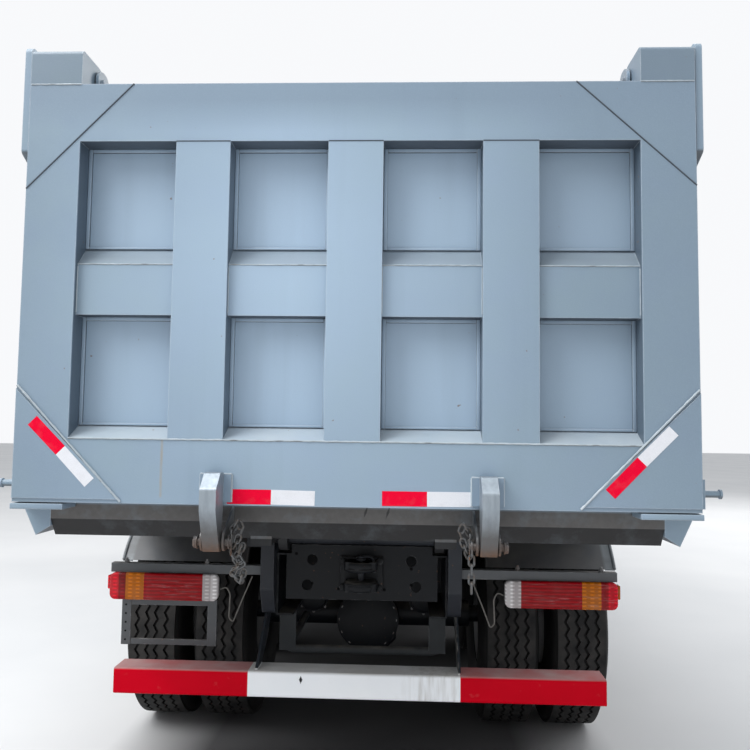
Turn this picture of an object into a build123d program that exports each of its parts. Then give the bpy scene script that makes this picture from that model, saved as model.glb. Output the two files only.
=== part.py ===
from build123d import *
import os

# Three-axle tipping lorry with a steel box body, in millimetres.
# x runs to the right, stations run forward from the rear face of the tailgate, z runs up from the ground.

# Wheels and axles
tyre_radius = 550
tyre_width = 300
tread_width = 240
shoulder_drop = 22
bead_radius = 262
rim_wall = 12
hub_radius = 130
twin_spacing = 342
rear_track = 1790
front_track = 2020
kingpin_track = 1640
kingpin_radius = 24
rear_axle_station = 1640
tandem_spacing = 1350
wheelbase = 3625
front_overhang = 1500
axle_tube_radius = 72
diff_radius = 205
diff_width = 300
front_beam_depth = 90
front_beam_drop = 95
front_beam_half = 34

# Frame, subframe and what hangs on them
frame_width = 780
rail_bottom = 720
rail_height = 280
rail_flange = 80
rail_wall = 8
frame_rear = 780
frame_front = 7880
subframe_height = 120
end_plate_wall = 10
end_plate_half = 345
end_plate_lift = 76
end_plate_rise = 42
end_plate_holes = ((226, 974), (248, 860))
end_plate_hole_radius = 24
spring_width = 76
running_gap = 0.1
joint_gap = 6

# Tipping bed
tip_station = 750
tip_height = 1080
tip_shaft_radius = 30
tip_lug_radius = 60
tip_lug_width = 40
tip_bracket_width = 60
bed_gap = 5
beam_height = 155
bearer_height = 90
bearer_width = 70
bearer_count = 9
floor_plate = 10
bed_wall = 100
side_skin = 8
side_drop = 15
side_post = 130
side_bays = 6
side_top_rail = 150
side_ledge = 70
side_bottom_rail = 130
skirt_drop = 35
bed_front = 5700
headboard_depth = 100
sill_depth = 300
sill_face = 72
sill_height = 138
sill_slope = 46

# Tailgate
gate_width = 2490
gate_side_gap = 5
gate_depth = 110
gate_skin = 15
gate_end_post = 200
gate_post = 205
gate_bays = 4
gate_bottom_rail = 235
gate_lower_panel = 461
gate_middle_rail = 192
gate_upper_panel = 464
gate_top_rail = 223
middle_rail_setback = 25
lower_ledge_rise = 48
middle_ledge_rise = 70
hinge_station = 150
hinge_ear_width = 198
hinge_ear_height = 135
hinge_pin_radius = 16
cheek_wall = 25
cheek_height = 480
cheek_depth = 230
inner_lug_wall = 12

# Lock arms and their ears
arm_spacing = 980
arm_width = 59
arm_reach = 120
arm_top = 1410
arm_bottom = 1130
lock_pin_radius = 14
lock_pin_height = 1160
ear_wall = 8
ear_ring_radius = 30
chain_links = 5
chain_wire = 7
chain_pitch = 32

# Front telescopic hoist
hoist_station = 5950
hoist_half_span = 250
hoist_base_rise = 110
hoist_radii = (92, 76, 60, 44)
hoist_length = 1710
hoist_step = 14
hoist_cap = 12
hoist_eye_radius = 44
hoist_pin_radius = 28
hoist_collar_wall = 12
saddle_inner = 112
saddle_outer = 140

# Rear lamps, underrun bar and plate frame
lamp_width = 494
lamp_height = 120
lamp_depth = 70
lamp_spacing = 1776
lamp_middle = 852
lamp_station = 690
lamp_bar = 40
underrun_width = 2080
underrun_height = 108
underrun_depth = 140
underrun_bottom = 435
underrun_station = 530
plate_width = 430
plate_height = 198
plate_bar = 24
plate_centre = -862

# Cab
cab_width = 2480
cab_rear = 6155
cab_setback = 70
cab_floor = 1180
cab_step_floor = 1000
cab_skirt = 750
cab_roof = 2990
cab_wall = 50
waist = 1900
screen_rake = 245
arch_front = 7240
skirt_depth = 145
cab_pivot_setback = 125
cab_pivot_height = 700
door_rear = 6800
door_front = 7840
door_bottom = 1230
door_top = 2760
door_front_top = 7690
glass_wall = 6
bumper_height = 270
bumper_top = 690
bumper_depth = 110

# Places worked out from the sizes above
bed_width = gate_width + 2 * gate_side_gap
half_bed = bed_width / 2
half_gate = gate_width / 2
half_frame = frame_width / 2
half_cab = cab_width / 2
rear_stations = (rear_axle_station, rear_axle_station + tandem_spacing)
front_axle_station = rear_stations[1] + wheelbase
front_station = front_axle_station + front_overhang
cab_front = front_station - cab_setback
rail_top = rail_bottom + rail_height
subframe_top = rail_top + subframe_height
beam_bottom = subframe_top + bed_gap
floor_top = beam_bottom + beam_height + floor_plate
gate_bottom = floor_top
bed_rear = gate_depth + 5
gate_top = (gate_bottom + gate_bottom_rail + gate_lower_panel + gate_middle_rail
            + gate_upper_panel + gate_top_rail)
side_top = gate_top - side_drop
hinge_height = gate_top + hinge_ear_height / 2
middle_station = (front_station - arm_reach) / 2
cab_pivot_station = front_station - cab_pivot_setback
hoist_base_height = rail_bottom + hoist_base_rise
hoist_eye_height = hoist_base_height + 2 * hoist_half_span
hoist_bottom = hoist_base_height + 60


# Shapes used by every piece
def block(x0, x1, s0, s1, z0, z1):
    """Box between two x, two stations and two heights."""
    return Pos((x0 + x1) / 2, (s0 + s1) / 2, (z0 + z1) / 2) * Box(abs(x1 - x0), s1 - s0, z1 - z0)


def outline(rows):
    """Closed face from rows of (u, v, corner radius)."""
    face = Polygon(*[(u, v) for u, v, _ in rows], align=None)
    for radius in sorted({r for _, _, r in rows if r}):
        spots = [Vector(u, v, 0) for u, v, r in rows if r == radius]
        corners = [c for c in face.vertices() if min((Vector(c) - p).length for p in spots) < 0.01]
        face = fillet(corners, radius)
    return face


def side_prism(rows, x0, x1):
    """Outline in (station, height), between two x."""
    return extrude(Plane.YZ.offset(min(x0, x1)) * outline(rows), abs(x1 - x0), dir=(1, 0, 0))


def plan_prism(rows, z0, z1):
    """Outline in (x, station), from z0 up to z1."""
    return extrude(Plane.XY.offset(z0) * outline(rows), z1 - z0, dir=(0, 0, 1))


def rear_prism(rows, s0, s1):
    """Outline in (x, height), from station s0 to s1."""
    plane = Plane((0, s1, 0), x_dir=(1, 0, 0), z_dir=(0, -1, 0))
    return extrude(plane * outline(rows), s1 - s0, dir=(0, -1, 0))


def rod_x(x0, x1, station, height, radius):
    """Round bar across the lorry."""
    return Pos((x0 + x1) / 2, station, height) * Rot(0, 90, 0) * Cylinder(radius, abs(x1 - x0))


def rod_between(start, end, radius):
    """Round bar between two points."""
    along = Vector(*end) - Vector(*start)
    return extrude(Plane(Vector(*start), z_dir=along) * Circle(radius), along.length)


def join(*shapes):
    """One body from several, fused where they touch."""
    return Part() + list(shapes)


def save(node, shape):
    """Write one node with the lorry's middle at the origin."""
    export_step(Pos(0, -middle_station, 0) * shape, f"parts/{node}.step")


os.makedirs("parts", exist_ok=True)


# Chassis
def rail(side):
    """Channel section rail, web outwards, flanges inwards."""
    web = half_frame - rail_wall
    flange = half_frame - rail_flange
    rows = [(half_frame, rail_bottom, 0), (half_frame, rail_top, 0), (flange, rail_top, 0),
            (flange, rail_top - rail_wall, 0), (web, rail_top - rail_wall, 0),
            (web, rail_bottom + rail_wall, 0), (flange, rail_bottom + rail_wall, 0), (flange, rail_bottom, 0)]
    return rear_prism([(side * x, z, r) for x, z, r in rows], frame_rear, frame_front)


cross_member_stations = (1250, 2315, 3500, 4700, 5700)
cross_member_depth = 120


def frame():
    """Two channel rails, cross members between them and the plate that closes their rear end."""
    inner = half_frame - rail_wall
    rails = [rail(1), rail(-1)]
    ties = []
    for station in cross_member_stations:
        tie = block(-inner, inner, station - cross_member_depth / 2, station + cross_member_depth / 2,
                    rail_bottom + 30, rail_top - rail_wall)
        hollow = block(-inner, inner, station - cross_member_depth / 2 + 10, station + cross_member_depth,
                       rail_bottom + 42, rail_top - rail_wall - 12)
        ties.append(tie - hollow)
    plate = block(-end_plate_half, end_plate_half, frame_rear - end_plate_wall, frame_rear,
                  rail_bottom + end_plate_lift, rail_top + end_plate_rise)
    for side in (-1, 1):
        lug_inner = half_frame - rail_flange / 2 - tip_lug_width / 2 - 8
        plate -= block(side * lug_inner, side * (end_plate_half + 1), frame_rear - end_plate_wall - 1,
                       frame_rear + 1, rail_top + 1, rail_top + end_plate_rise + 1)
        for x, height in end_plate_holes:
            plate -= Pos(side * x, frame_rear, height) * Rot(90, 0, 0) * Cylinder(end_plate_hole_radius, 40)
    return join(*rails, *ties, plate)


jaw_width = 150
jaw_height = 130
jaw_reach = 110
jaw_mouth = 60
jaw_bore_radius = 16
jaw_height_middle = 918


def tow_jaw():
    """Towing jaw bolted to the end plate: two lips with a pin bore down through them."""
    back = frame_rear - end_plate_wall
    half = jaw_width / 2
    low = jaw_height_middle - jaw_height / 2
    body = plan_prism([(-half, back, 0), (-half, back - jaw_reach, 30), (half, back - jaw_reach, 30),
                       (half, back, 0)], low, low + jaw_height)
    mouth = block(-half - 1, half + 1, back - jaw_reach - 1, back - 25, jaw_height_middle - jaw_mouth / 2,
                  jaw_height_middle + jaw_mouth / 2)
    bore = Pos(0, back - jaw_reach / 2 - 8, jaw_height_middle) * Cylinder(jaw_bore_radius, jaw_height + 2)
    return body - mouth - bore


subframe_rear = 870
subframe_front = 5750


def subframe():
    """Tubular long beams on the rails, tied across, which carry the lowered bed."""
    inner = half_frame - rail_flange
    beams = [block(side * inner, side * half_frame, subframe_rear, subframe_front, rail_top, subframe_top)
             for side in (-1, 1)]
    ties = [block(-inner, inner, s - 40, s + 40, rail_top + 10, subframe_top - 10)
            for s in (1100, 2650, 4200, 5650)]
    return join(*beams, *ties)


bracket_outer = half_frame + tip_bracket_width


def tip_brackets():
    """Brackets on the rail ends with the shaft that the bed turns on."""
    crown = tip_height + 45
    rows = [(tip_station - 55, crown, 40), (tip_station + 55, crown, 40),
            (tip_station + 190, rail_top, 20), (tip_station + 190, rail_bottom + 10, 0),
            (tip_station + 10, rail_bottom + 10, 40), (tip_station - 55, rail_bottom + 130, 30)]
    low, high, rear, front = rail_bottom + 40, rail_top - 40, tip_station + 40, tip_station + 160
    recess = [(rear, low, 10), (front, low, 10), (front, high, 10), (rear, high, 10)]
    cheeks = [side_prism(rows, side * half_frame, side * bracket_outer)
              - side_prism(recess, side * (half_frame + 14), side * (bracket_outer + 1)) for side in (-1, 1)]
    shaft = rod_x(-bracket_outer - 12, bracket_outer + 12, tip_station, tip_height, tip_shaft_radius)
    return join(*cheeks, shaft)


def rear_axles():
    """Two drive axles: tube, differential bowl and spring seats."""
    stub = rear_track / 2 - twin_spacing / 2 - tyre_width / 2 - 20
    axles = []
    for station in rear_stations:
        tube = rod_x(-stub, stub, station, tyre_radius, axle_tube_radius)
        bowl = Pos(0, station, tyre_radius) * Rot(0, 90, 0) * Cylinder(diff_radius, diff_width)
        bowl = chamfer(bowl.edges().filter_by(GeomType.CIRCLE), 60)
        spindle = rod_x(-rear_track / 2 - 90, rear_track / 2 + 90, station, tyre_radius, 45)
        back = station - pinion_reach if station == rear_stations[1] else station
        front = station + pinion_reach
        nose = Pos(0, (back + front) / 2, tyre_radius + pinion_rise) * Rot(90, 0, 0)
        nose *= Cylinder(pinion_radius, front - back)
        axles.append(join(tube, bowl, spindle, nose))
    return Compound(axles)


def front_axle():
    """Dropped beam with a fork at each end for the kingpin."""
    end = kingpin_track / 2
    drop = tyre_radius - front_beam_drop
    half = front_beam_depth / 2
    eye = tyre_radius
    rows = [(-end, eye - half, 0), (-end + 70, eye - half, 20), (-end + 170, drop - half, 40),
            (end - 170, drop - half, 40), (end - 70, eye - half, 20), (end, eye - half, 0),
            (end, eye + half, 0), (end - 80, eye + half, 20), (end - 190, drop + half, 40),
            (-end + 190, drop + half, 40), (-end + 80, eye + half, 20), (-end, eye + half, 0)]
    beam = rear_prism(rows, front_axle_station - front_beam_half, front_axle_station + front_beam_half)
    pins = [Pos(side * end, front_axle_station, eye) * (Cylinder(kingpin_radius, front_beam_depth + 140)
            + Cylinder(front_beam_half - 1, front_beam_depth)) for side in (-1, 1)]
    return join(beam, *pins)


front_eye_height = 620
front_spring_reach = 760
front_hanger_reach = 745
spring_hanger_half = 45
front_spring_clamp = 120


def leaf_springs():
    """Front leaf packs with hangers, and the rear packs that rock on a trunnion between the axles."""
    springs = []
    inner, outer = half_frame + 8, half_frame + 8 + spring_width
    front_seat = tyre_radius - front_beam_drop + front_beam_depth / 2
    for side in (-1, 1):
        low, high = side * inner, side * outer
        seat = front_axle_station
        rear_eye, front_eye = seat - front_spring_reach, seat + front_spring_reach
        under, over = front_eye_height + 60, front_eye_height + 90
        pack = side_prism([(rear_eye, under, 0), (seat - 100, front_seat, 200),
                           (seat + 100, front_seat, 200), (front_eye, under, 0),
                           (front_eye, over, 0), (seat + front_spring_clamp, front_seat + 110, 200),
                           (seat - front_spring_clamp, front_seat + 110, 200), (rear_eye, over, 0)],
                          low, high)
        spans = [(seat + end - spring_hanger_half, seat + end + spring_hanger_half)
                 for end in (-front_hanger_reach, front_hanger_reach)]
        hangers = [block(low, high, *span, front_eye_height + 75, rail_bottom + 120) for span in spans]
        feet = [block(side * half_frame, side * (half_frame + 20), *span, rail_bottom + 20, rail_bottom + 120)
                for span in spans]
        springs.append(join(pack, *hangers, *feet))
        middle = sum(rear_stations) / 2
        reach = tandem_spacing / 2
        axle_top = tyre_radius + axle_tube_radius
        rear = side_prism([(middle - reach - 90, axle_top, 0), (middle - reach + 90, axle_top, 0),
                           (middle - 150, axle_top + 45, 150), (middle + 150, axle_top + 45, 150),
                           (middle + reach - 90, axle_top, 0), (middle + reach + 90, axle_top, 0),
                           (middle + reach + 90, axle_top + 30, 0), (middle + 180, axle_top + 160, 200),
                           (middle - 180, axle_top + 160, 200), (middle - reach - 90, axle_top + 30, 0)],
                          low, high)
        trunnion = side_prism([(middle - 130, rail_bottom + 180, 0), (middle - 90, axle_top - 40, 30),
                               (middle + 90, axle_top - 40, 30), (middle + 130, rail_bottom + 180, 0)],
                              side * half_frame, side * inner)
        trunnion_shaft = rod_x(side * (half_frame - 40), side * (outer + 30), middle, axle_top + 5, 45)
        springs.append(join(rear, trunnion, trunnion_shaft))
    return Compound(springs)


engine_rear = 6650
engine_front = 7800
engine_half = 295
engine_bottom = 640
engine_top = 1150
gearbox_length = 560


def engine():
    """Engine block between the rails under the cab, with the gearbox behind it."""
    corners = ((engine_rear, engine_bottom), (engine_front, engine_bottom), (engine_front, engine_top),
               (engine_rear, engine_top))
    motor = side_prism([(*corner, 30) for corner in corners], -engine_half, engine_half)
    gearbox = side_prism([(engine_rear, engine_bottom, 0), (engine_rear, engine_bottom + 380, 0),
                          (engine_rear - gearbox_length, engine_bottom + 280, 20),
                          (engine_rear - gearbox_length, engine_bottom - 30, 20)], -200, 200)
    return join(motor, gearbox)


shaft_radius = 45
flange_radius = 62
flange_wall = 20
pinion_radius = 70
pinion_rise = 60
pinion_reach = 270


def coupling(station, height, hand):
    """Disc at a shaft's end, facing forward or rearward."""
    near, far = sorted((station, station + hand * flange_wall))
    return Pos(0, (near + far) / 2, height) * Rot(90, 0, 0) * Cylinder(flange_radius, far - near)


def propeller_shafts():
    """Shafts from the gearbox to the first drive axle and on to the second, with end flanges."""
    height = tyre_radius + pinion_rise
    second, first = (station + pinion_reach for station in rear_stations)
    through = rear_stations[1] - pinion_reach
    runs = [((first, height), (engine_rear - gearbox_length, engine_bottom + 35)),
            ((second, height), (through, height))]
    shafts = []
    for (low_station, low_height), (high_station, high_height) in runs:
        tube = rod_between((0, low_station + flange_wall / 2, low_height),
                           (0, high_station - flange_wall / 2, high_height), shaft_radius)
        shafts.append(join(tube, coupling(low_station, low_height, 1),
                           coupling(high_station, high_height, -1)))
    return Compound(shafts)


tank_rear = 4250
tank_front = 5350
tank_bottom = 560
tank_height = 480
tank_depth = 560
tank_inner = 450


def tank_strap(station, side):
    """Bracket from the rail and strap round the tank at one station."""
    return block(side * half_frame, side * tank_inner, station - 40, station + 40, tank_bottom + 80,
                 rail_top - 60)


def fuel_tank():
    """Rounded box tank on two brackets on the left rail."""
    low, high = tank_bottom, tank_bottom + tank_height
    left, right = -(tank_inner + tank_depth), -tank_inner
    tank = rear_prism([(left, low, 90), (right, low, 90), (right, high, 90), (left, high, 90)],
                      tank_rear, tank_front)
    brackets = [tank_strap(s, -1) for s in (tank_rear + 220, tank_front - 220)]
    cap = Pos(left + 170, tank_front - 180, high + 18) * Cylinder(48, 40)
    return join(tank, *brackets, cap)


battery_rear = 4250
battery_length = 600
battery_bottom = 640
battery_height = 400
battery_depth = 420
air_tank_station = 5180
air_tank_length = 560
air_tank_radius = 115
air_tank_heights = (700, 950)


def air_tanks():
    """Battery box and two air tanks on the right rail."""
    front, top = battery_rear + battery_length, battery_bottom + battery_height
    brackets = [tank_strap(station, 1) for station in (battery_rear + 170, front - 150)]
    corners = ((battery_rear, battery_bottom), (front, battery_bottom), (front, top), (battery_rear, top))
    case = side_prism([(*corner, 20) for corner in corners], tank_inner, tank_inner + battery_depth)
    middle = tank_inner + air_tank_radius + 15
    tanks = []
    for height in air_tank_heights:
        tank = Cylinder(air_tank_radius, air_tank_length)
        tank = Pos(middle, air_tank_station, height) * Rot(90, 0, 0) * tank
        tanks.append(chamfer(tank.edges().filter_by(GeomType.CIRCLE), 30))
    arm = block(half_frame, middle, air_tank_station - 30, air_tank_station + 30, min(air_tank_heights) - 10,
                max(air_tank_heights) + 10)
    return Compound([join(case, *brackets), join(*tanks, arm)])


silencer_station = 5720
silencer_height = 800
silencer_radius = 185
silencer_length = 360
tail_pipe_radius = 50


def silencer():
    """Silencer drum on the right rail with its tail pipe turned out to the side."""
    middle, station, height = tank_inner + silencer_radius + 37, silencer_station, silencer_height
    drum = Pos(middle, station, height) * Rot(90, 0, 0) * Cylinder(silencer_radius, silencer_length)
    drum = chamfer(drum.edges().filter_by(GeomType.CIRCLE), 30)
    arm = block(half_frame, tank_inner + 80, station - 30, station + 30, height - 40, height + 60)
    pipe = rod_between((middle, station, height - 160), (middle + 340, station, height - 240),
                       tail_pipe_radius)
    return join(drum, arm, pipe)


guard_radius = 590
guard_wall = 6
guard_inner = 600
guard_width = 600
guard_drop = 200


def mudguards():
    """Curved sheet guards over both pairs of each side, held by arms from the rails."""
    guards = []
    rear, front = rear_stations
    for side in (-1, 1):
        low, high = side * guard_inner, side * (guard_inner + guard_width)

        def hood(radius):
            arches = [rod_x(low, high, s, tyre_radius, radius) for s in rear_stations]
            bridge = block(low, high, rear + 300, front - 300, tyre_radius + 300, tyre_radius + radius - 90)
            return join(*arches, bridge)

        guard = hood(guard_radius + guard_wall) - hood(guard_radius)
        keep = block(low, high, rear - 700, front + 700, tyre_radius + guard_drop * 1.7, tyre_radius + 700)
        guard = guard & keep
        stay_height = tyre_radius + guard_radius - 150
        stays = [block(side * half_frame, side * (guard_inner + 10), s - 25, s + 25,
                       stay_height - 25, stay_height + 25)
                 for s in (rear - 445, front + 445)]
        guards.append(join(guard, *stays))
    return Compound(guards)


def underrun_bar():
    """Rear underrun bar on plates that hang from the tip brackets."""
    half = underrun_width / 2
    top = underrun_bottom + underrun_height
    bar = side_prism([(underrun_station, underrun_bottom, 12), (underrun_station, top, 12),
                      (underrun_station + underrun_depth, top, 12),
                      (underrun_station + underrun_depth, underrun_bottom, 12)], -half, half)
    hangers = []
    for side in (-1, 1):
        rows = [(underrun_station + 20, top, 0), (underrun_station + underrun_depth - 20, top, 0),
                (tip_station + 150, rail_bottom + 10, 0), (tip_station + 15, rail_bottom + 10, 0)]
        hangers.append(side_prism(rows, side * (bracket_outer - 24), side * (bracket_outer - 12)))
    return join(bar, *hangers)


def lamp_brackets():
    """Bars out from the tip brackets over the lamps, and the open plate frame under the left lamp."""
    low = lamp_middle + lamp_height / 2
    reach = lamp_spacing / 2 + lamp_width / 2
    rear = lamp_station + 20
    bars = [block(side * bracket_outer, side * reach, rear, rear + lamp_bar, low, low + lamp_bar)
            for side in (-1, 1)]
    top = lamp_middle - lamp_height / 2
    left, right = plate_centre - plate_width / 2, plate_centre + plate_width / 2
    plate = block(left, right, rear, rear + 12, top - plate_height, top)
    plate -= block(left + plate_bar, right - plate_bar, rear - 1, rear + 13, top - plate_height + plate_bar,
                   top - plate_bar)
    return Compound([*bars, plate])


def tail_lamps():
    """One long lamp cluster each side, lens and housing in one."""
    lamps = []
    for side in (-1, 1):
        middle = side * lamp_spacing / 2
        low, high = lamp_middle - lamp_height / 2, lamp_middle + lamp_height / 2
        rows = [(middle - lamp_width / 2, low, 18), (middle + lamp_width / 2, low, 18),
                (middle + lamp_width / 2, high, 18), (middle - lamp_width / 2, high, 18)]
        lamps.append(rear_prism(rows, lamp_station, lamp_station + lamp_depth))
    return Compound(lamps)


stabiliser_station = 900
stabiliser_height = 540
stabiliser_radius = 19
stabiliser_half = 350


def stabiliser_bar():
    """Bent torsion bar behind the rear axle, hung from the rails, its arms forward to the axle."""
    station, height = stabiliser_station, stabiliser_height
    reach = rear_axle_station - axle_tube_radius
    path = FilletPolyline((-stabiliser_half, reach, height), (-stabiliser_half, station, height),
                          (stabiliser_half, station, height), (stabiliser_half, reach, height), radius=45)
    bar = sweep(Plane(path @ 0, z_dir=path % 0) * Circle(stabiliser_radius), path=path)
    inner, outer, rear = half_frame - rail_flange + 1, half_frame - 2, station - stabiliser_radius
    hangers = [block(side * inner, side * outer, rear, rear + stabiliser_radius / 2, height - 5, rail_bottom)
               for side in (-1, 1)]
    return join(bar, *hangers)


cradle_half = 112
cradle_wall = 22
cradle_beam_half = 60


def hoist_cradle():
    """Cross beam between the rails with two lugs and the pin that the hoist swings on."""
    inner = half_frame - rail_wall
    low, high = rail_bottom + 12, rail_bottom + 55
    beam = block(-inner, inner, hoist_station - cradle_beam_half, hoist_station + cradle_beam_half, low, high)
    lugs = []
    for side in (-1, 1):
        crown = hoist_base_height + hoist_eye_radius
        rows = [(hoist_station - cradle_beam_half, high, 0), (hoist_station + cradle_beam_half, high, 0),
                (hoist_station + 45, crown, 44), (hoist_station - 45, crown, 44)]
        lugs.append(side_prism(rows, side * cradle_half, side * (cradle_half + cradle_wall)))
    half = cradle_half + cradle_wall + 8
    return join(beam, *lugs, rod_x(-half, half, hoist_station, hoist_base_height, hoist_pin_radius))


def upright(radius, low, high):
    """Round bar on the hoist's own line."""
    return Pos(0, hoist_station, (low + high) / 2) * Cylinder(radius, high - low)


def hoist_tube(stage):
    """One tube of the telescope, counted inwards from the cover, closed on top and open below."""
    level = len(hoist_radii) - 1 - stage
    low = hoist_bottom + hoist_step * level
    high = hoist_bottom + hoist_length + hoist_step * level
    tube = upright(hoist_radii[stage], low, high)
    if level:
        tube -= upright(hoist_radii[stage + 1] + running_gap, low - 1, high - hoist_cap)
    return tube


def hoist_barrel():
    """Cover tube on top of the telescope, with a collar and the two trunnions that lift the bed."""
    collar_half = hoist_pin_radius + 12
    reach = hoist_radii[0] + hoist_collar_wall
    collar = upright(reach, hoist_eye_height - collar_half, hoist_eye_height + collar_half)
    trunnions = rod_x(-saddle_outer, saddle_outer, hoist_station, hoist_eye_height, hoist_pin_radius)
    ring = join(collar, trunnions) - upright(hoist_radii[0] - 2, hoist_bottom, hoist_eye_height + 200)
    return join(hoist_tube(0), ring)


def hoist_rod():
    """Innermost tube with the eye that turns on the cradle's pin."""
    half = cradle_half - joint_gap
    eye = rod_x(-half, half, hoist_station, hoist_base_height, hoist_eye_radius)
    neck = block(-half, half, hoist_station - 38, hoist_station + 38, hoist_base_height, hoist_bottom + 4)
    bore = rod_x(-cradle_half, cradle_half, hoist_station, hoist_base_height, hoist_pin_radius + running_gap)
    return join(hoist_tube(len(hoist_radii) - 1), eye, neck) - bore


# Bed
beam_inner = half_frame - rail_flange


def bearer_stations():
    """Middles of the cross bearers, evenly spread between the sill and the headboard."""
    first, last = bed_rear + sill_depth + 180, bed_front - 60
    step = (last - first) / (bearer_count - 1)
    return [first + n * step for n in range(bearer_count)]


def bed_floor():
    """Floor plate on two long beams and cross bearers, with the rear sill and the tip lugs."""
    half = half_bed - bed_wall
    low = floor_top - floor_plate
    plate = block(-half, half, bed_rear, bed_front - headboard_depth, low, floor_top)
    front_tie = block(-beam_inner, beam_inner, bed_front - headboard_depth - 40, bed_front, beam_bottom, low)
    pieces = [plate, front_tie]
    for side in (-1, 1):
        pieces.append(block(side * beam_inner, side * half_frame, bed_rear + 40, bed_front, beam_bottom, low))
        middle = side * (half_frame + beam_inner) / 2
        rows = [(tip_station - 90, beam_bottom, 0), (tip_station + 90, beam_bottom, 0),
                (tip_station + 59, tip_height - tip_lug_radius + 1, 58),
                (tip_station - 59, tip_height - tip_lug_radius + 1, 58)]
        lug = side_prism(rows, middle - tip_lug_width / 2, middle + tip_lug_width / 2)
        pieces.append(lug)
    for station in bearer_stations():
        for side in (-1, 1):
            web = rear_prism([(side * half_frame, low - bearer_height, 0), (side * half_frame, low, 0),
                              (side * half, low, 0), (side * half, low - bearer_height + 30, 0)],
                             station - bearer_width / 2, station + bearer_width / 2)
            pieces.append(web)
    sill_edge, sill_low = floor_top - sill_face, floor_top - sill_height
    sill = side_prism([(bed_rear, low, 0), (bed_rear, sill_edge, 0), (bed_rear + sill_slope, sill_low, 0),
                       (bed_rear + sill_depth, sill_low, 0), (bed_rear + sill_depth, low, 0)], -half, half)
    floor = join(*pieces, sill)
    return floor - rod_x(-half_frame, half_frame, tip_station, tip_height, tip_shaft_radius + running_gap)


def bay_edges():
    """First and last station of each recessed bay of a bed side."""
    clear = (bed_front - bed_rear - side_post * (side_bays + 1)) / side_bays
    starts = [bed_rear + side_post + n * (clear + side_post) for n in range(side_bays)]
    return [(start, start + clear) for start in starts]


def bed_side(side):
    """Pressed side wall: skin inside, posts and rails outside, lower edge sloped under."""
    inner, outer = half_bed - bed_wall, half_bed
    low = floor_top - floor_plate - 90
    rows = [(inner, low, 0), (outer - 45, low - skirt_drop, 0), (outer, low + 60, 0), (outer, side_top, 0),
            (inner, side_top, 0)]
    wall = rear_prism([(side * x, z, r) for x, z, r in rows], bed_rear, bed_front)
    ledge_foot = floor_top + side_bottom_rail
    lid = side_top - side_top_rail
    skin = inner + side_skin
    recess = [(outer + 1, ledge_foot, 0), (outer, ledge_foot, 0), (skin, ledge_foot + side_ledge, 0),
              (skin, lid, 0), (outer + 1, lid, 0)]
    for start, end in bay_edges():
        wall -= rear_prism([(side * x, z, r) for x, z, r in recess], start, end)
    return wall


def bed_sides():
    """Left and right side wall."""
    return Compound([bed_side(1), bed_side(-1)])


saddle_reach = 52
saddle_flare = 80


def saddle(side):
    """Cheek at the headboard's foot that rests on a trunnion, its seat open downwards."""
    height = hoist_eye_height
    rows = [(bed_front, height - 45, 0), (bed_front, height + 190, 0), (hoist_station - 30, height + 75, 40),
            (hoist_station + saddle_reach, height + 60, 30), (hoist_station + saddle_reach, height - 30, 12)]
    cheek = side_prism(rows, side * saddle_inner, side * saddle_outer)
    radius = hoist_pin_radius + running_gap
    seat = rod_x(side * (saddle_inner - 1), side * (saddle_outer + 1), hoist_station, height, radius)
    rear, front = hoist_station - radius * 0.866, hoist_station + radius
    mouth = side_prism([(rear, height + radius / 2, 0),
                        (rear - saddle_flare * 0.65, height - saddle_flare, 0),
                        (front, height - saddle_flare, 0), (front, height, 0)],
                       side * (saddle_inner - 1), side * (saddle_outer + 1))
    return cheek - seat - mouth


def headboard():
    """Front wall of the load space with posts outside and the saddles for the hoist's trunnions."""
    half = half_bed - bed_wall
    rear = bed_front - headboard_depth
    wall = block(-half, half, rear, bed_front, floor_top - floor_plate, side_top)
    width = (2 * half - 5 * side_post) / 4
    for n in range(4):
        x = -half + side_post + n * (width + side_post)
        wall -= side_prism([(bed_front + 1, floor_top + 100, 0), (rear + side_skin, floor_top + 160, 0),
                            (rear + side_skin, side_top - 140, 0), (bed_front + 1, side_top - 140, 0)],
                           x, x + width)
    return join(wall, *[saddle(side) for side in (-1, 1)])


lug_round = 47


def hinge_cheeks():
    """Cheek plates outside the tailgate's ears, inner lugs on the wall tops and the hinge pins."""
    top = hinge_height + 90
    pieces = []
    for side in (-1, 1):
        foot_height, front = top - cheek_height, cheek_depth + 20
        cheek = side_prism([(10, foot_height + 60, 20), (10, top, 25), (front, top - 25, 60),
                            (front, foot_height, 20), (bed_rear + 15, foot_height, 0)],
                           side * half_bed, side * (half_bed + cheek_wall))
        lug_x = half_gate - hinge_ear_width - joint_gap
        crown, root = hinge_height + lug_round + 1, side_top + 9
        lug = side_prism([(bed_rear + 5, root, 0), (hinge_station + 120, root, 0),
                          (hinge_station + lug_round + 1, crown, lug_round),
                          (hinge_station - lug_round - 1, crown, lug_round)],
                         side * (lug_x - inner_lug_wall), side * lug_x)
        foot = block(side * (lug_x - inner_lug_wall), side * half_bed, bed_rear + 5,
                     hinge_station + 150, side_top, side_top + 10)
        pin = rod_x(side * (lug_x - inner_lug_wall - 10), side * (half_bed + cheek_wall), hinge_station,
                    hinge_height, hinge_pin_radius)
        pieces.append(join(cheek, lug, foot, pin))
    return Compound(pieces)


rope_tube_height = 1345
rope_tube_reach = 122
rope_tube_radius = 13


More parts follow.
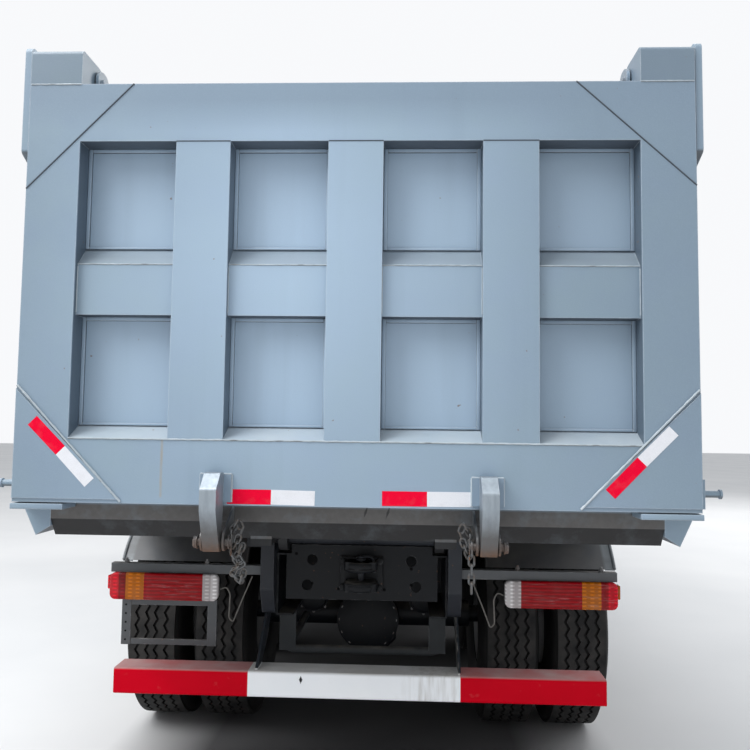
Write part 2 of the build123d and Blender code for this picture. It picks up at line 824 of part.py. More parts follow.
def side_brackets():
    """Bracket and rope tube low on each side wall, just ahead of the tailgate."""
    pieces = []
    station, height = bed_rear + 60, rope_tube_height
    for side in (-1, 1):
        wall, end = side * half_bed, side * (half_bed + rope_tube_reach)
        plate = block(wall, wall + side * 62, station - 25, station - 13, height - 55, height + 55)
        tube = rod_x(wall, end, station, height, rope_tube_radius)
        cap = rod_x(end, end + side * 8, station, height, rope_tube_radius + 5)
        pieces.append(join(plate, tube, cap))
    return Compound(pieces)


lock_pin_station = -18
ear_gap = 6
pin_stub = 22


def latch_ears():
    """Paired ears on the sill with the cross pin that each lock arm closes over."""
    pieces = []
    root = floor_top - sill_face
    for side in (-1, 1):
        middle = side * arm_spacing / 2
        for hand in (-1, 1):
            near = middle + hand * (arm_width / 2 + ear_gap)
            far = near + hand * ear_wall
            ring = ear_ring_radius
            rear, low, high = lock_pin_station - ring, lock_pin_height - ring, lock_pin_height + ring
            rows = [(bed_rear, root, 0), (bed_rear, floor_top - 15, 0), (rear, high, ring - 1),
                    (rear, low, ring - 1), (lock_pin_station + 30, low, 20)]
            pieces.append(side_prism(rows, near, far))
        half = arm_width / 2 + ear_gap + ear_wall + pin_stub
        pieces.append(rod_x(middle - half, middle + half, lock_pin_station, lock_pin_height, lock_pin_radius))
    return join(*pieces)


chain_gap = 0.3


def chain_link(inner_length, inner_width):
    """One flat link, its hole open along x."""
    face = SlotOverall(inner_length + 2 * chain_wire, inner_width + 2 * chain_wire)
    face -= SlotOverall(inner_length, inner_width)
    return extrude(Plane.YZ * (Rot(0, 0, 90) * face), chain_wire / 2, both=True)


def gate_chain():
    """Short safety chain: a wide link on the right ear's pin and narrow ones below it."""
    wide = 2 * lock_pin_radius + 2
    lengths = [wide + 16] + [chain_pitch] * (chain_links - 1)
    x = arm_spacing / 2 - arm_width / 2 - ear_gap - ear_wall - 2 * pin_stub / 3
    middle = lock_pin_height + lock_pin_radius + chain_gap - lengths[0] / 2
    links = []
    for n, length in enumerate(lengths):
        link = chain_link(length, wide if n == 0 else chain_wire + 5)
        links.append(Pos(x, lock_pin_station, middle) * (Rot(0, 0, 90) * link if n % 2 else link))
        if n + 1 < chain_links:
            middle -= (length + lengths[n + 1]) / 2 - chain_gap
    return Compound(links)


# Tailgate
def bay_starts():
    """Left edge of each recessed bay of the tailgate."""
    width = (gate_width - 2 * gate_end_post - (gate_bays - 1) * gate_post) / gate_bays
    return width, [-half_gate + gate_end_post + n * (width + gate_post) for n in range(gate_bays)]


def tailgate():
    """Pressed gate: flush posts, set-back middle rail, sloped ledges and two rows of recessed panels."""
    lower = gate_bottom + gate_bottom_rail
    middle = lower + gate_lower_panel
    upper = middle + gate_middle_rail
    lid = upper + gate_upper_panel
    floor = gate_depth - gate_skin
    rows = [(-1, lower, 0), (0, lower, 0), (floor, lower + lower_ledge_rise, 0), (floor, middle, 0),
            (middle_rail_setback, middle, 0), (middle_rail_setback, upper, 0),
            (floor, upper + middle_ledge_rise, 0), (floor, lid, 0), (-1, lid, 0)]
    gate = block(-half_gate, half_gate, 0, gate_depth, gate_bottom, gate_top)
    width, starts = bay_starts()
    for start in starts:
        gate -= side_prism(rows, start, start + width)
    return gate


def gate_hinges():
    """Ear boxes on the gate's top corners, rounded about the hinge pins."""
    ears = []
    round_end = hinge_ear_height / 2 - 0.5
    front = hinge_station + hinge_ear_height / 2
    for side in (-1, 1):
        rows = [(0, gate_top, 0), (0, gate_top + hinge_ear_height, 18),
                (front, gate_top + hinge_ear_height, round_end), (front, gate_top, round_end)]
        ear = side_prism(rows, side * half_gate, side * (half_gate - hinge_ear_width))
        ear -= rod_x(side * (half_gate + 1), side * (half_gate - hinge_ear_width - 1), hinge_station,
                     hinge_height, hinge_pin_radius + running_gap)
        ears.append(ear)
    return Compound(ears)


pressure_plate = 12
seat_gap = 3


def lock_arms():
    """Lock arms with their pressure plates: curved forward at the foot, with an open seat for the pin."""
    arms = []
    for side in (-1, 1):
        middle = side * arm_spacing / 2
        plate = block(middle - 57, middle + 57, -pressure_plate, 0, gate_bottom + 12, arm_top - 8)
        rows = [(-pressure_plate, arm_top, 0), (-60, arm_top, 12), (-arm_reach, arm_top - 55, 15),
                (-arm_reach, gate_bottom - 10, 60), (lock_pin_station - 34, arm_bottom, 12),
                (lock_pin_station, arm_bottom, 0), (lock_pin_station, lock_pin_height + 30, 10),
                (-pressure_plate, gate_bottom - 15, 0)]
        arm = side_prism(rows, middle - arm_width / 2, middle + arm_width / 2)
        seat = rod_x(middle - arm_width, middle + arm_width, lock_pin_station, lock_pin_height,
                     lock_pin_radius + seat_gap)
        arms.append(join(plate, arm - seat))
    return Compound(arms)


# Cab
def cab_outside():
    """Side outline of the cab: upright front to the waist, raked screen, stepped underside."""
    rear_of_skirt = cab_front - skirt_depth
    return [(cab_rear, cab_floor, 20), (cab_rear, cab_roof, 120), (cab_front - screen_rake, cab_roof, 140),
            (cab_front, waist, 150), (cab_front, cab_skirt, 0), (rear_of_skirt, cab_skirt, 0),
            (rear_of_skirt, cab_step_floor, 0), (arch_front, cab_step_floor, 0), (arch_front, cab_floor, 0)]


def cab_inside():
    """Side outline of the cab's hollow."""
    wall = cab_wall
    return [(cab_rear + wall, cab_floor + wall, 0), (cab_rear + wall, cab_roof - wall, 75),
            (cab_front - screen_rake - wall, cab_roof - wall, 95), (cab_front - wall, waist - 10, 110),
            (cab_front - wall, cab_step_floor + wall, 0), (arch_front + wall, cab_step_floor + wall, 0),
            (arch_front + wall, cab_floor + wall, 0)]


def screen_point(fraction, inset):
    """Point a fraction of the way up the raked screen line, set in behind it."""
    rise = cab_roof - waist
    length = (rise ** 2 + screen_rake ** 2) ** 0.5
    station = cab_front - screen_rake * fraction - inset * rise / length
    return station, waist + rise * fraction - inset * screen_rake / length


def screen_slab(outer, inner, low, high, half):
    """Slab in line with the screen between two depths and two fractions of its height."""
    rows = [(*screen_point(low, outer), 0), (*screen_point(high, outer), 0),
            (*screen_point(high, inner), 0), (*screen_point(low, inner), 0)]
    return side_prism(rows, -half, half)


tunnel_half = 430
grille_half = 820
grille_bottom = 1080
grille_top = 1560
grille_depth = 30
grille_bars = 6
grille_rim = 30
screen_half = 1080
screen_reach = (0.07, 0.86)
rear_window_half = 520
lug_inner = 312
lug_outer = 346


def door_outline(grow):
    """Side outline of a door opening, grown or shrunk all round."""
    return [(door_rear - grow, door_bottom - grow, 30), (door_front + grow, door_bottom - grow, 30),
            (door_front + grow, waist + 30, 60), (door_front_top + grow, door_top + grow, 80),
            (door_rear - grow, door_top + grow, 60)]


def window_outline():
    """Side outline of a door window."""
    return [(door_rear + 90, waist + 10, 50), (door_front - 50, waist + 10, 40),
            (door_front - 60, waist + 60, 40), (door_front_top - 70, door_top - 90, 60),
            (door_rear + 90, door_top - 90, 60)]


def cab_block():
    """Hollow cab before its doors and windows are cut, with softened upright corners."""
    outside = side_prism(cab_outside(), -half_cab, half_cab)
    rear_most = cab_front - min(screen_rake + 80, skirt_depth - 1)
    front_edges = [edge for edge in outside.edges() if abs(abs(edge.center().X) - half_cab) < 1
                   and edge.center().Y > rear_most and cab_skirt + 1 < edge.center().Z < cab_roof - 1]
    outside = fillet(front_edges, 70)
    hollow = side_prism(cab_inside(), -half_cab + cab_wall, half_cab - cab_wall)
    wide = tunnel_half + cab_wall
    tunnel = block(-wide, wide, arch_front, cab_front - cab_wall, cab_step_floor, cab_floor + cab_wall)
    under = block(-tunnel_half, tunnel_half, arch_front - 1, cab_front - skirt_depth, cab_step_floor - 1,
                  cab_floor)
    back_of_skirt = block(-half_cab + 35, half_cab - 35, cab_front - skirt_depth - 1, cab_front - 40,
                          cab_skirt - 1, cab_step_floor)
    return outside - (hollow - tunnel) - under - back_of_skirt


door_hinge_out = 13
door_hinge_ahead = 20
door_hinge_heights = (1400, 1800)
door_pin_radius = 5
door_knuckle_radius = 10
door_knuckle_half = 23


def door_knuckle(side, height, low, high, radius):
    """Upright round of a door hinge at one height."""
    place = Pos(side * (half_cab + door_hinge_out), door_front + door_hinge_ahead, height + (low + high) / 2)
    return place * Cylinder(radius, high - low)


def pillar_hinge(side, height):
    """Hinge half on the screen pillar: two collars with the pin between them."""
    near = door_knuckle_half + 1
    far = near + 30
    parts = [door_knuckle(side, height, -far, far, door_pin_radius)]
    for low, high in ((-far, -near), (near, far)):
        parts.append(door_knuckle(side, height, low, high, door_knuckle_radius))
        parts.append(block(side * half_cab, side * (half_cab + door_hinge_out), door_front + door_hinge_ahead,
                           door_front + door_hinge_ahead + 38, height + low, height + high))
    return join(*parts)


def door_hinge(side, height):
    """Hinge half on the door: a leaf and the sleeve round the pin."""
    half = door_knuckle_half
    face = side * (half_cab + door_hinge_out - 2)
    edge = door_front - joint_gap
    leaf = block(side * half_cab, face, door_front - 70, edge, height - half, height + half)
    tongue = block(side * (half_cab + 3), face, edge - 1, door_front + door_hinge_ahead, height - half,
                   height + half)
    return join(leaf, tongue, door_knuckle(side, height, -half, half, door_knuckle_radius))


def rear_window(rear, front):
    """Slab that fills the rear window between two stations."""
    return block(-rear_window_half, rear_window_half, rear, front, waist + 150, door_top - 60)


def cab_shell():
    """Cab with its door, screen and grille openings cut, and the lugs that it tilts on."""
    shell = cab_block()
    for side in (-1, 1):
        shell -= side_prism(door_outline(0), side * (half_cab + 1), side * (half_cab - cab_wall - 1))
    shell -= screen_slab(-200, cab_wall + 100, *screen_reach, screen_half)
    shell -= rear_window(cab_rear - 1, cab_rear + cab_wall + 1)
    shell -= block(-grille_half, grille_half, cab_front - grille_depth, cab_front + 1, grille_bottom,
                   grille_top)
    pivot = cab_pivot_station
    lugs = []
    for side in (-1, 1):
        rows = [(pivot - 40, cab_pivot_height, 0), (pivot + 38, cab_pivot_height, 0),
                (cab_front - 40, cab_skirt + 40, 0), (cab_front - 40, cab_step_floor - 40, 0),
                (pivot - 40, cab_step_floor - 40, 0)]
        lug = join(side_prism(rows, side * lug_inner, side * lug_outer),
                   rod_x(side * lug_inner, side * lug_outer, pivot, cab_pivot_height, 40))
        lug -= rod_x(side * (lug_inner - 1), side * (lug_outer + 1), pivot, cab_pivot_height,
                     cab_pin_radius + running_gap)
        lugs.append(lug)
    hinges = [pillar_hinge(side, height) for side in (-1, 1) for height in door_hinge_heights]
    return join(shell, *lugs, *hinges)


def windscreen():
    """Windscreen and rear window glass."""
    screen = screen_slab(12, 12 + glass_wall, *screen_reach, screen_half)
    return Compound([screen, rear_window(cab_rear + 20, cab_rear + 20 + glass_wall)])


def grille():
    """Frame with level bars, set in the cab's front."""
    rear, front = cab_front - grille_depth, cab_front - 4
    half, low, high = grille_half - grille_rim, grille_bottom + grille_rim, grille_top - grille_rim
    surround = block(-grille_half, grille_half, rear, front, grille_bottom, grille_top)
    surround -= block(-half, half, rear - 1, front + 1, low, high)
    pitch = (high - low) / (grille_bars + 1)
    bars = []
    for n in range(grille_bars):
        z = low + pitch * (n + 1)
        rows = [(rear, z - 8, 0), (rear, z + 10, 0), (front - 4, z + 22, 0), (front, z - 8, 0)]
        bars.append(side_prism(rows, -half, half))
    return join(surround, *bars)


mirror_inner = 1290
mirror_width = 180
mirror_depth = 70
mirror_set_back = 140
mirror_faces = ((2170, 400), (1860, 190))
mirror_arm_heights = (1690, 2395)
mirror_tube = 14


def mirrors():
    """Mirror housings on tube arms at the screen pillars, a tall one over a wide-angle one."""
    pieces = []
    station = cab_front - mirror_set_back
    for side in (-1, 1):
        middle, pole_x = side * (mirror_inner + mirror_width / 2), side * (mirror_inner + 60)
        housings = []
        for height, tall in mirror_faces:
            housing = Pos(middle, station, height) * Box(mirror_width, mirror_depth, tall)
            housings.append(fillet(housing.edges().filter_by(Axis.Y), 35))
        low, high = mirror_arm_heights
        pole = Pos(pole_x, station - 22, (low + high) / 2) * Cylinder(mirror_tube, high - low + 36)
        arms = [rod_x(side * half_cab, pole_x, station - 22, z, mirror_tube) for z in mirror_arm_heights]
        pieces.append(join(*housings, pole, *arms))
    return Compound(pieces)


seat_middle = 620
seat_width = 480
cushion_rear = 6880
cushion_front = 7400
cushion_bottom = 1480
cushion_top = 1620
backrest_height = 730


def seats():
    """Driver's and passenger's seat on pedestals."""
    pieces = []
    rear, front, root = cushion_rear, cushion_front, cushion_top - 20
    crown = root + backrest_height
    for side in (-1, 1):
        low, high = side * seat_middle - seat_width / 2, side * seat_middle + seat_width / 2
        foot = block(low + 60, high - 60, rear + 20, front - 180, cab_floor + cab_wall, cushion_bottom)
        cushion = side_prism([(rear, cushion_bottom, 20), (front, cushion_bottom, 50),
                              (front, cushion_top, 60), (rear, root, 20)], low, high)
        back = side_prism([(rear - 20, root, 0), (rear + 110, root, 0), (rear + 20, crown, 50),
                           (rear - 110, crown, 50)], low + 15, high - 15)
        pieces.append(join(foot, cushion, back))
    return Compound(pieces)


dash_outline = ((0, 1500, 0), (0, 1860, 0), (40, 1900, 0), (180, 1930, 40), (420, 1840, 60), (380, 1560, 60))
wheel_set_back = 530
wheel_height = 1890
wheel_radius = 230
wheel_rim = 32
column_length = 330


def dashboard():
    """Dashboard across the cab with the steering column and wheel on the left."""
    front = cab_front - cab_wall
    half = half_cab - cab_wall - 2
    desk = side_prism([(front - back, height, radius) for back, height, radius in dash_outline], -half, half)
    centre = Vector(-seat_middle, front - wheel_set_back, wheel_height)
    axis = Vector(0, -0.55, 0.835)
    spoke = 2 * (wheel_radius - wheel_rim) + 14
    wheel = Plane(centre, z_dir=axis) * (Cylinder(wheel_radius, 30) - Cylinder(wheel_radius - wheel_rim, 32))
    spokes = Plane(centre, z_dir=axis) * join(Box(spoke, 46, 16), Box(46, spoke, 16), Cylinder(62, 40))
    column = rod_between(tuple(centre), tuple(centre - axis * column_length), 38)
    return join(desk, wheel, spokes, column)


def door(side):
    """Door cut from the cab's side wall, with its window opening."""
    panel = side_prism(door_outline(-joint_gap), side * half_cab, side * (half_cab - cab_wall))
    panel -= side_prism(window_outline(), side * (half_cab + 1), side * (half_cab - cab_wall - 1))
    hinges = [door_hinge(side, height) for height in door_hinge_heights]
    bores = [door_knuckle(side, height, -door_knuckle_half - 1, door_knuckle_half + 1,
                          door_pin_radius + running_gap) for height in door_hinge_heights]
    return join(panel, *hinges) - bores


def door_glass(side):
    """Window glass in the middle of the door's thickness."""
    near = half_cab - cab_wall / 2
    return side_prism(window_outline(), side * near, side * (near + glass_wall))


mount_inner = 352
mount_outer = 388
cab_pin_radius = 20


def cab_mounts():
    """Brackets under the rails' front ends with the pins that the cab tilts on."""
    pieces = []
    pivot = cab_pivot_station
    for side in (-1, 1):
        rows = [(frame_front - 180, rail_bottom, 0), (frame_front - 180, cab_pivot_height - 60, 0),
                (pivot - 20, cab_pivot_height - 60, 20), (pivot + 38, cab_pivot_height - 38, 37),
                (pivot + 38, cab_pivot_height + 38, 37), (frame_front + 15, cab_pivot_height + 38, 0),
                (frame_front + 5, rail_bottom, 0)]
        plate = side_prism(rows, side * mount_inner, side * mount_outer)
        pin = rod_x(side * (lug_inner - 6), side * mount_outer, pivot, cab_pivot_height, cab_pin_radius)
        pieces.append(join(plate, pin))
    return Compound(pieces)


head_lamp_inner = 760
head_lamp_width = 300
head_lamp_low = 490
head_lamp_high = 640
bumper_wall = 14


def front_bumper():
    """Channel bumper with swept-back ends, lamp openings and two arms to the cab brackets."""
    half = half_cab - 10
    low, high = bumper_top - bumper_height, bumper_top
    rear = front_station - bumper_depth + 45
    plan = [(-half, rear - 60, 0), (-half, rear + 10, 0), (-half + 90, front_station, 60),
            (half - 90, front_station, 60), (half, rear + 10, 0), (half, rear - 60, 0),
            (half - 40, rear - 60, 0), (half - 40, rear, 0), (-half + 40, rear, 0),
            (-half + 40, rear - 60, 0)]
    bar = plan_prism(plan, low, high)
    hollow = block(-half + 110, half - 110, rear - 1, front_station - bumper_wall, low + bumper_wall,
                   high - bumper_wall)
    bar -= hollow
    for side in (-1, 1):
        bar -= block(side * head_lamp_inner, side * (head_lamp_inner + head_lamp_width),
                     front_station - bumper_wall - 1, front_station + 1, head_lamp_low, head_lamp_high)
    arms = [block(side * mount_inner, side * mount_outer, frame_front - 100, front_station - bumper_wall + 2,
                  cab_pivot_height - 130, cab_pivot_height - 60) for side in (-1, 1)]
    return join(bar, *arms)


def headlamps():
    """Lamp units that fill the openings of the bumper."""
    lamps = []
    for side in (-1, 1):
        near, far = side * head_lamp_inner, side * (head_lamp_inner + head_lamp_width)
        corners = ((near, head_lamp_low), (far, head_lamp_low), (far, head_lamp_high), (near, head_lamp_high))
        lamps.append(rear_prism([(*corner, 24) for corner in corners], front_station - 50, front_station - 3))
    return Compound(lamps)


step_inner = 930
step_wall = 110
step_rear = arch_front + 15
step_front = 7880
step_bottom = 430
step_top = 985
step_post = 50
lower_tread = 500
upper_tread = (690, 750)
step_lid = 940
step_arm = (7540, 7630, 850, 940)


def cab_steps():
    """Step boxes ahead of the front wheels: inner wall, two treads, lid, posts and an arm from the rail."""
    low, high = upper_tread
    heel = step_rear + 75
    near, outer = step_inner + step_wall, half_cab - 8
    rows = [(step_rear, step_top, 0), (step_rear, step_bottom + 210, 0), (step_rear + 95, step_bottom, 30),
            (step_front, step_bottom, 30), (step_front, step_top, 0)]
    cells = ((near, outer, step_rear, step_front, step_bottom, lower_tread),
             (near, outer, step_rear, heel + 70, lower_tread, low),
             (near, outer, step_rear, heel, low, step_top),
             (near, outer, heel, step_front - step_post, low, high),
             (near, outer, heel, step_front - step_post, step_lid, step_top),
             (near, outer, step_front - step_post, step_front, lower_tread, step_top))
    pieces = []
    for side in (-1, 1):
        body = side_prism(rows, side * step_inner, side * outer)
        pieces.append(side_prism(rows, side * step_inner, side * near))
        pieces += [body & block(side * x0, side * x1, *spans) for x0, x1, *spans in cells]
        pieces.append(block(side * half_frame, side * step_inner, *step_arm))
    return Compound(pieces)


# Knuckles and wheels
knuckle_plate = 42
knuckle_face = 78
spindle_radius = 32


def knuckle(side):
    """Fork over the axle's eye on the kingpin, with the spindle and the steering arm."""
    pin_x = kingpin_track / 2
    gap = front_beam_depth / 2 + joint_gap
    reach = gap + knuckle_plate
    station, height, face = front_axle_station, tyre_radius, pin_x + knuckle_face
    rows = [(pin_x - 40, station - 40, 38), (face, station - 50, 0), (face, station + 50, 0),
            (pin_x - 40, station + 40, 38)]
    plates = [plan_prism(rows, height + low, height + high) for low, high in ((-reach, -gap), (gap, reach))]
    web = block(face - 36, face, station - 50, station + 50, height - reach, height + reach)
    spindle = rod_x(face - 8, front_track / 2 + 70, station, height, spindle_radius)
    steering_arm = block(pin_x + 10, pin_x + 40, station - 210, station - 30, height - reach,
                         height - reach + 30)
    body = join(*plates, web, spindle, steering_arm)
    body -= Pos(pin_x, station, height) * Cylinder(kingpin_radius + running_gap, 2 * reach + 60)
    return body if side > 0 else mirror(body, about=Plane.YZ)


def turned(rows):
    """Ring turned about the x axis from rows of (x, radius)."""
    return revolve(Polygon(*rows, align=None), Axis.X)


def tyre():
    """Plain tyre ring: flat tread, dropped shoulders and bulged walls."""
    half, tread = tyre_width / 2, tread_width / 2
    return turned([(-half + 22, bead_radius), (-half, bead_radius + 105), (-half, bead_radius + 165),
                   (-tread - 4, tyre_radius - shoulder_drop), (-tread + 12, tyre_radius),
                   (tread - 12, tyre_radius), (tread + 4, tyre_radius - shoulder_drop),
                   (half, bead_radius + 165), (half, bead_radius + 105), (half - 22, bead_radius)])


rim_half = 118


def rear_rim():
    """Two rims back to back on one hub."""
    inner = bead_radius - rim_wall
    mid = twin_spacing / 2
    rings = [turned([(side * (mid - rim_half), inner), (side * (mid - rim_half), bead_radius),
                     (side * (mid + rim_half), bead_radius), (side * (mid + rim_half), inner)])
             for side in (-1, 1)]
    disc = turned([(-12, 45 + running_gap), (-12, 190), (-mid + rim_half - 14, inner + 2),
                   (-mid + rim_half - 30, inner + 2), (mid - rim_half + 30, inner + 2),
                   (mid - rim_half + 14, inner + 2), (12, 190), (12, 45 + running_gap)])
    hub = turned([(-170, 45 + running_gap), (-170, hub_radius), (100, hub_radius), (130, hub_radius - 30),
                  (130, 45 + running_gap)])
    return join(*rings, disc, hub)


def front_rim():
    """Single rim with its disc towards the outside and the hub."""
    inner = bead_radius - rim_wall
    ring = turned([(-rim_half, inner), (-rim_half, bead_radius), (rim_half, bead_radius), (rim_half, inner)])
    disc = turned([(38, spindle_radius + running_gap), (38, 190), (rim_half - 40, inner + 2),
                   (rim_half - 12, inner + 2), (60, 190), (60, spindle_radius + running_gap)])
    hub = turned([(-20, spindle_radius + running_gap), (-20, 95), (100, 95), (120, 70),
                  (120, spindle_radius + running_gap)])
    return join(ring, disc, hub)


def rear_tyres():
    """Twin tyres."""
    return Compound([Pos(side * twin_spacing / 2, 0, 0) * tyre() for side in (-1, 1)])


def write_wheels():
    """Tyres and rims of every wheel body, mirrored to the left."""
    table = [("front", front_track, front_axle_station, tyre(), front_rim()),
             ("rear_1", rear_track, rear_stations[1], rear_tyres(), rear_rim()),
             ("rear_2", rear_track, rear_stations[0], rear_tyres(), rear_rim())]
    for name, track, station, rubber, rim in table:
        for side, hand in ((-1, "left"), (1, "right")):
            place = Pos(side * track / 2, station, tyre_radius)
            turn = Rot(0, 0, 0) if side > 0 else Rot(0, 0, 180)
            save(f"{name}_tyres_{hand}", place * turn * rubber)
            save(f"{name}_rims_{hand}", place * turn * rim)


pieces = {
    "frame": frame, "tow_jaw": tow_jaw, "subframe": subframe, "tip_brackets": tip_brackets,
    "rear_axles": rear_axles, "front_axle": front_axle, "leaf_springs": leaf_springs, "engine": engine,
    "propeller_shafts": propeller_shafts, "fuel_tank": fuel_tank, "air_tanks": air_tanks,
    "silencer": silencer, "mudguards": mudguards, "underrun_bar": underrun_bar,
    "lamp_brackets": lamp_brackets, "tail_lamps": tail_lamps, "stabiliser_bar": stabiliser_bar,
    "hoist_cradle": hoist_cradle, "cab_mounts": cab_mounts, "front_bumper": front_bumper,
    "headlamps": headlamps, "cab_steps": cab_steps,
    "hoist_barrel": hoist_barrel, "hoist_stage_1": lambda: hoist_tube(1),
    "hoist_stage_2": lambda: hoist_tube(2), "hoist_rod": hoist_rod,
    "bed_floor": bed_floor, "bed_sides": bed_sides, "headboard": headboard,
    "hinge_cheeks": hinge_cheeks, "side_brackets": side_brackets, "latch_ears": latch_ears,
    "gate_chain": gate_chain, "tailgate": tailgate, "gate_hinges": gate_hinges, "lock_arms": lock_arms,
    "cab_shell": cab_shell, "windscreen": windscreen, "grille": grille, "mirrors": mirrors,
    "seats": seats, "dashboard": dashboard,
    "door_left": lambda: door(-1), "door_right": lambda: door(1),
    "door_glass_left": lambda: door_glass(-1), "door_glass_right": lambda: door_glass(1),
    "knuckle_left": lambda: knuckle(-1), "knuckle_right": lambda: knuckle(1),
}
for node, make in pieces.items():
    save(node, make())
write_wheels()
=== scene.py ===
import math
import random

import bmesh
import bpy
from mathutils import Matrix, Vector


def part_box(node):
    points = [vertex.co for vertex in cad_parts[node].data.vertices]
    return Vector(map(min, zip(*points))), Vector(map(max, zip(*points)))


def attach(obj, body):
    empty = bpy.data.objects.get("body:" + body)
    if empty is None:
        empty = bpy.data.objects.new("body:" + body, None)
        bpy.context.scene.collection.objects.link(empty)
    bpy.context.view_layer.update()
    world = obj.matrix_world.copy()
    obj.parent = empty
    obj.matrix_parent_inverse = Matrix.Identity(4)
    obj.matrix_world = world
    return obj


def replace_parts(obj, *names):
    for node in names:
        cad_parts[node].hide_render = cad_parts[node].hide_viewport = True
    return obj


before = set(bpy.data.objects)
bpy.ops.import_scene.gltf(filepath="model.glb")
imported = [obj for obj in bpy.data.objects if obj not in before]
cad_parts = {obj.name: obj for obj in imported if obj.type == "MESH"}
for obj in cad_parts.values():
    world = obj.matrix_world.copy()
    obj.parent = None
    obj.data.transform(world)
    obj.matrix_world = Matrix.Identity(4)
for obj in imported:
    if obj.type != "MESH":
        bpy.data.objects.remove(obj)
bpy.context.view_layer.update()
random.seed(7)

# Camera: a wide lens held a little right of the middle behind the tailgate, at chest height,
# turned slightly left and up, as the photographer stood.
focal_pixels = 770
photo_width = 750
camera_place = Vector((0.1985, -6.787, 1.568))
turned_left, turned_up, rolled = (math.radians(a) for a in (2.4, 4.1, 0.75))
camera = bpy.data.objects.new("camera", bpy.data.cameras.new("camera"))
camera.data.sensor_width = 36
camera.data.lens = 36 * focal_pixels / photo_width
camera.matrix_world = (Matrix.Translation(camera_place) @ Matrix.Rotation(turned_left, 4, "Z")
                       @ Matrix.Rotation(math.pi / 2 + turned_up, 4, "X") @ Matrix.Rotation(rolled, 4, "Z"))
bpy.context.scene.collection.objects.link(camera)
bpy.context.scene.camera = camera
bpy.context.scene.view_settings.view_transform = "Standard"


# Floor and light: a plain pale floor with a painted shadow where the truck stands, an even white sky and four
# broad soft lamps, at the rear left, the front, the right and overhead, so that every side shows its form.
class Value:
    """A shader value; sums and products of it add Math nodes."""

    def __init__(self, finish, socket):
        self.finish, self.socket = finish, socket

    def math(self, operation, *others):
        return self.finish.node("Math", {"operation": operation}, dict(enumerate((self, *others))))

    def __add__(self, other):
        return self.math("ADD", other)

    def __mul__(self, other):
        return self.math("MULTIPLY", other)

    def __sub__(self, other):
        return self.math("SUBTRACT", other)

    def __rsub__(self, other):
        return self.finish.node("Math", {"operation": "SUBTRACT"}, {0: other, 1: self})

    def __abs__(self):
        return self.math("ABSOLUTE")

    __radd__, __rmul__ = __add__, __mul__

    def band(self, low, high):
        """0 below low, 1 above high."""
        return self.finish.node("MapRange", {"clamp": True},
                                {"Value": self, "From Min": low, "From Max": high})


class Finish:
    """A material under construction, with its nodes added one by one."""

    def __init__(self, name):
        self.material = bpy.data.materials.new(name)
        self.material.use_nodes = True
        self.tree = self.material.node_tree
        self.tree.nodes.clear()
        self.place = self.node("TexCoord", output="Object")
        self.facing = self.node("TexCoord", output="Normal")
        self.x, self.y, self.z = (self.axis(self.place, letter) for letter in "XYZ")
        self.level = self.axis(self.facing, "Z")

    def node(self, kind, settings=None, inputs=None, output=0):
        made = self.tree.nodes.new("ShaderNode" + kind)
        for key, value in (settings or {}).items():
            setattr(made, key, value)
        for key, value in (inputs or {}).items():
            socket = made.inputs[key]
            if isinstance(value, Value):
                self.tree.links.new(value.socket, socket)
            elif socket.type == "RGBA" and len(value) == 3:
                socket.default_value = (*value, 1)
            else:
                socket.default_value = value
        return Value(self, made.outputs[output]) if made.outputs else None

    def noise(self, scale, detail=4, stretch=(1, 1, 1), rough=0.5):
        """Noise with features about 1/scale metres long, drawn out along an axis where asked."""
        spread = self.node("Mapping", {}, {"Vector": self.place, "Scale": stretch})
        return self.node("TexNoise", {}, {"Vector": spread, "Scale": scale, "Detail": detail,
                                          "Roughness": rough})

    def axis(self, source, letter):
        """One component of a vector."""
        return self.node("SeparateXYZ", {}, {0: source}, output=letter)

    def blend(self, mask, first, second):
        """First colour where the mask is 0, second where it is 1."""
        return self.node("Mix", {"data_type": "RGBA"}, {0: mask, 6: first, 7: second}, output=2)

    def soft_edge(self, radius):
        """Normal rounded over edges within the radius."""
        return self.node("Bevel", {"samples": 4}, {"Radius": radius})

    def edge(self, radius):
        """1 near an edge, 0 on a flat face."""
        plain = self.node("NewGeometry", output="Normal")
        close = self.node("VectorMath", {"operation": "DOT_PRODUCT"}, {0: self.soft_edge(radius), 1: plain},
                          "Value")
        return (1 - close).band(0.02, 0.25)

    def bump(self, height, depth, normal=None):
        """Normal pressed in by a height map of that depth in metres."""
        return self.node("Bump", {}, {"Height": height, "Distance": depth,
                                      **({"Normal": normal} if normal else {})})

    def shade(self, **sockets):
        """Ends the material with one surface shader."""
        named = {key.replace("_", " "): value for key, value in sockets.items()}
        surface = self.node("BsdfPrincipled", {}, named)
        self.node("OutputMaterial", {}, {"Surface": surface})
        return self.material


def sheet_of(name, shape, finish):
    """Object at the origin from a bmesh, with its place in its mesh."""
    mesh = bpy.data.meshes.new(name)
    for face in shape.faces:
        face.smooth = True
    shape.to_mesh(mesh)
    shape.free()
    mesh.set_sharp_from_angle(angle=math.radians(38))
    mesh.materials.append(finish)
    made = bpy.data.objects.new(name, mesh)
    bpy.context.scene.collection.objects.link(made)
    return made


pale_ground = Finish("pale_ground")
grain = pale_ground.noise(0.6).band(0.3, 0.7)
concrete = pale_ground.blend(grain, (0.74, 0.745, 0.75), (0.8, 0.8, 0.8))
# Painted shadow: the floor goes dark under the truck.
painted_truck_shadow = abs(pale_ground.x).band(1.25, 0.75) * abs(pale_ground.y).band(4.1, 3.3)
concrete = pale_ground.blend(painted_truck_shadow * (grain * 0.1 + 0.88), concrete, (0.020, 0.020, 0.023))
pale_ground.shade(Base_Color=concrete, Roughness=0.9)
ground = bmesh.new()
bmesh.ops.create_grid(ground, x_segments=1, y_segments=1, size=60)
sheet_of("ground", ground, pale_ground.material)

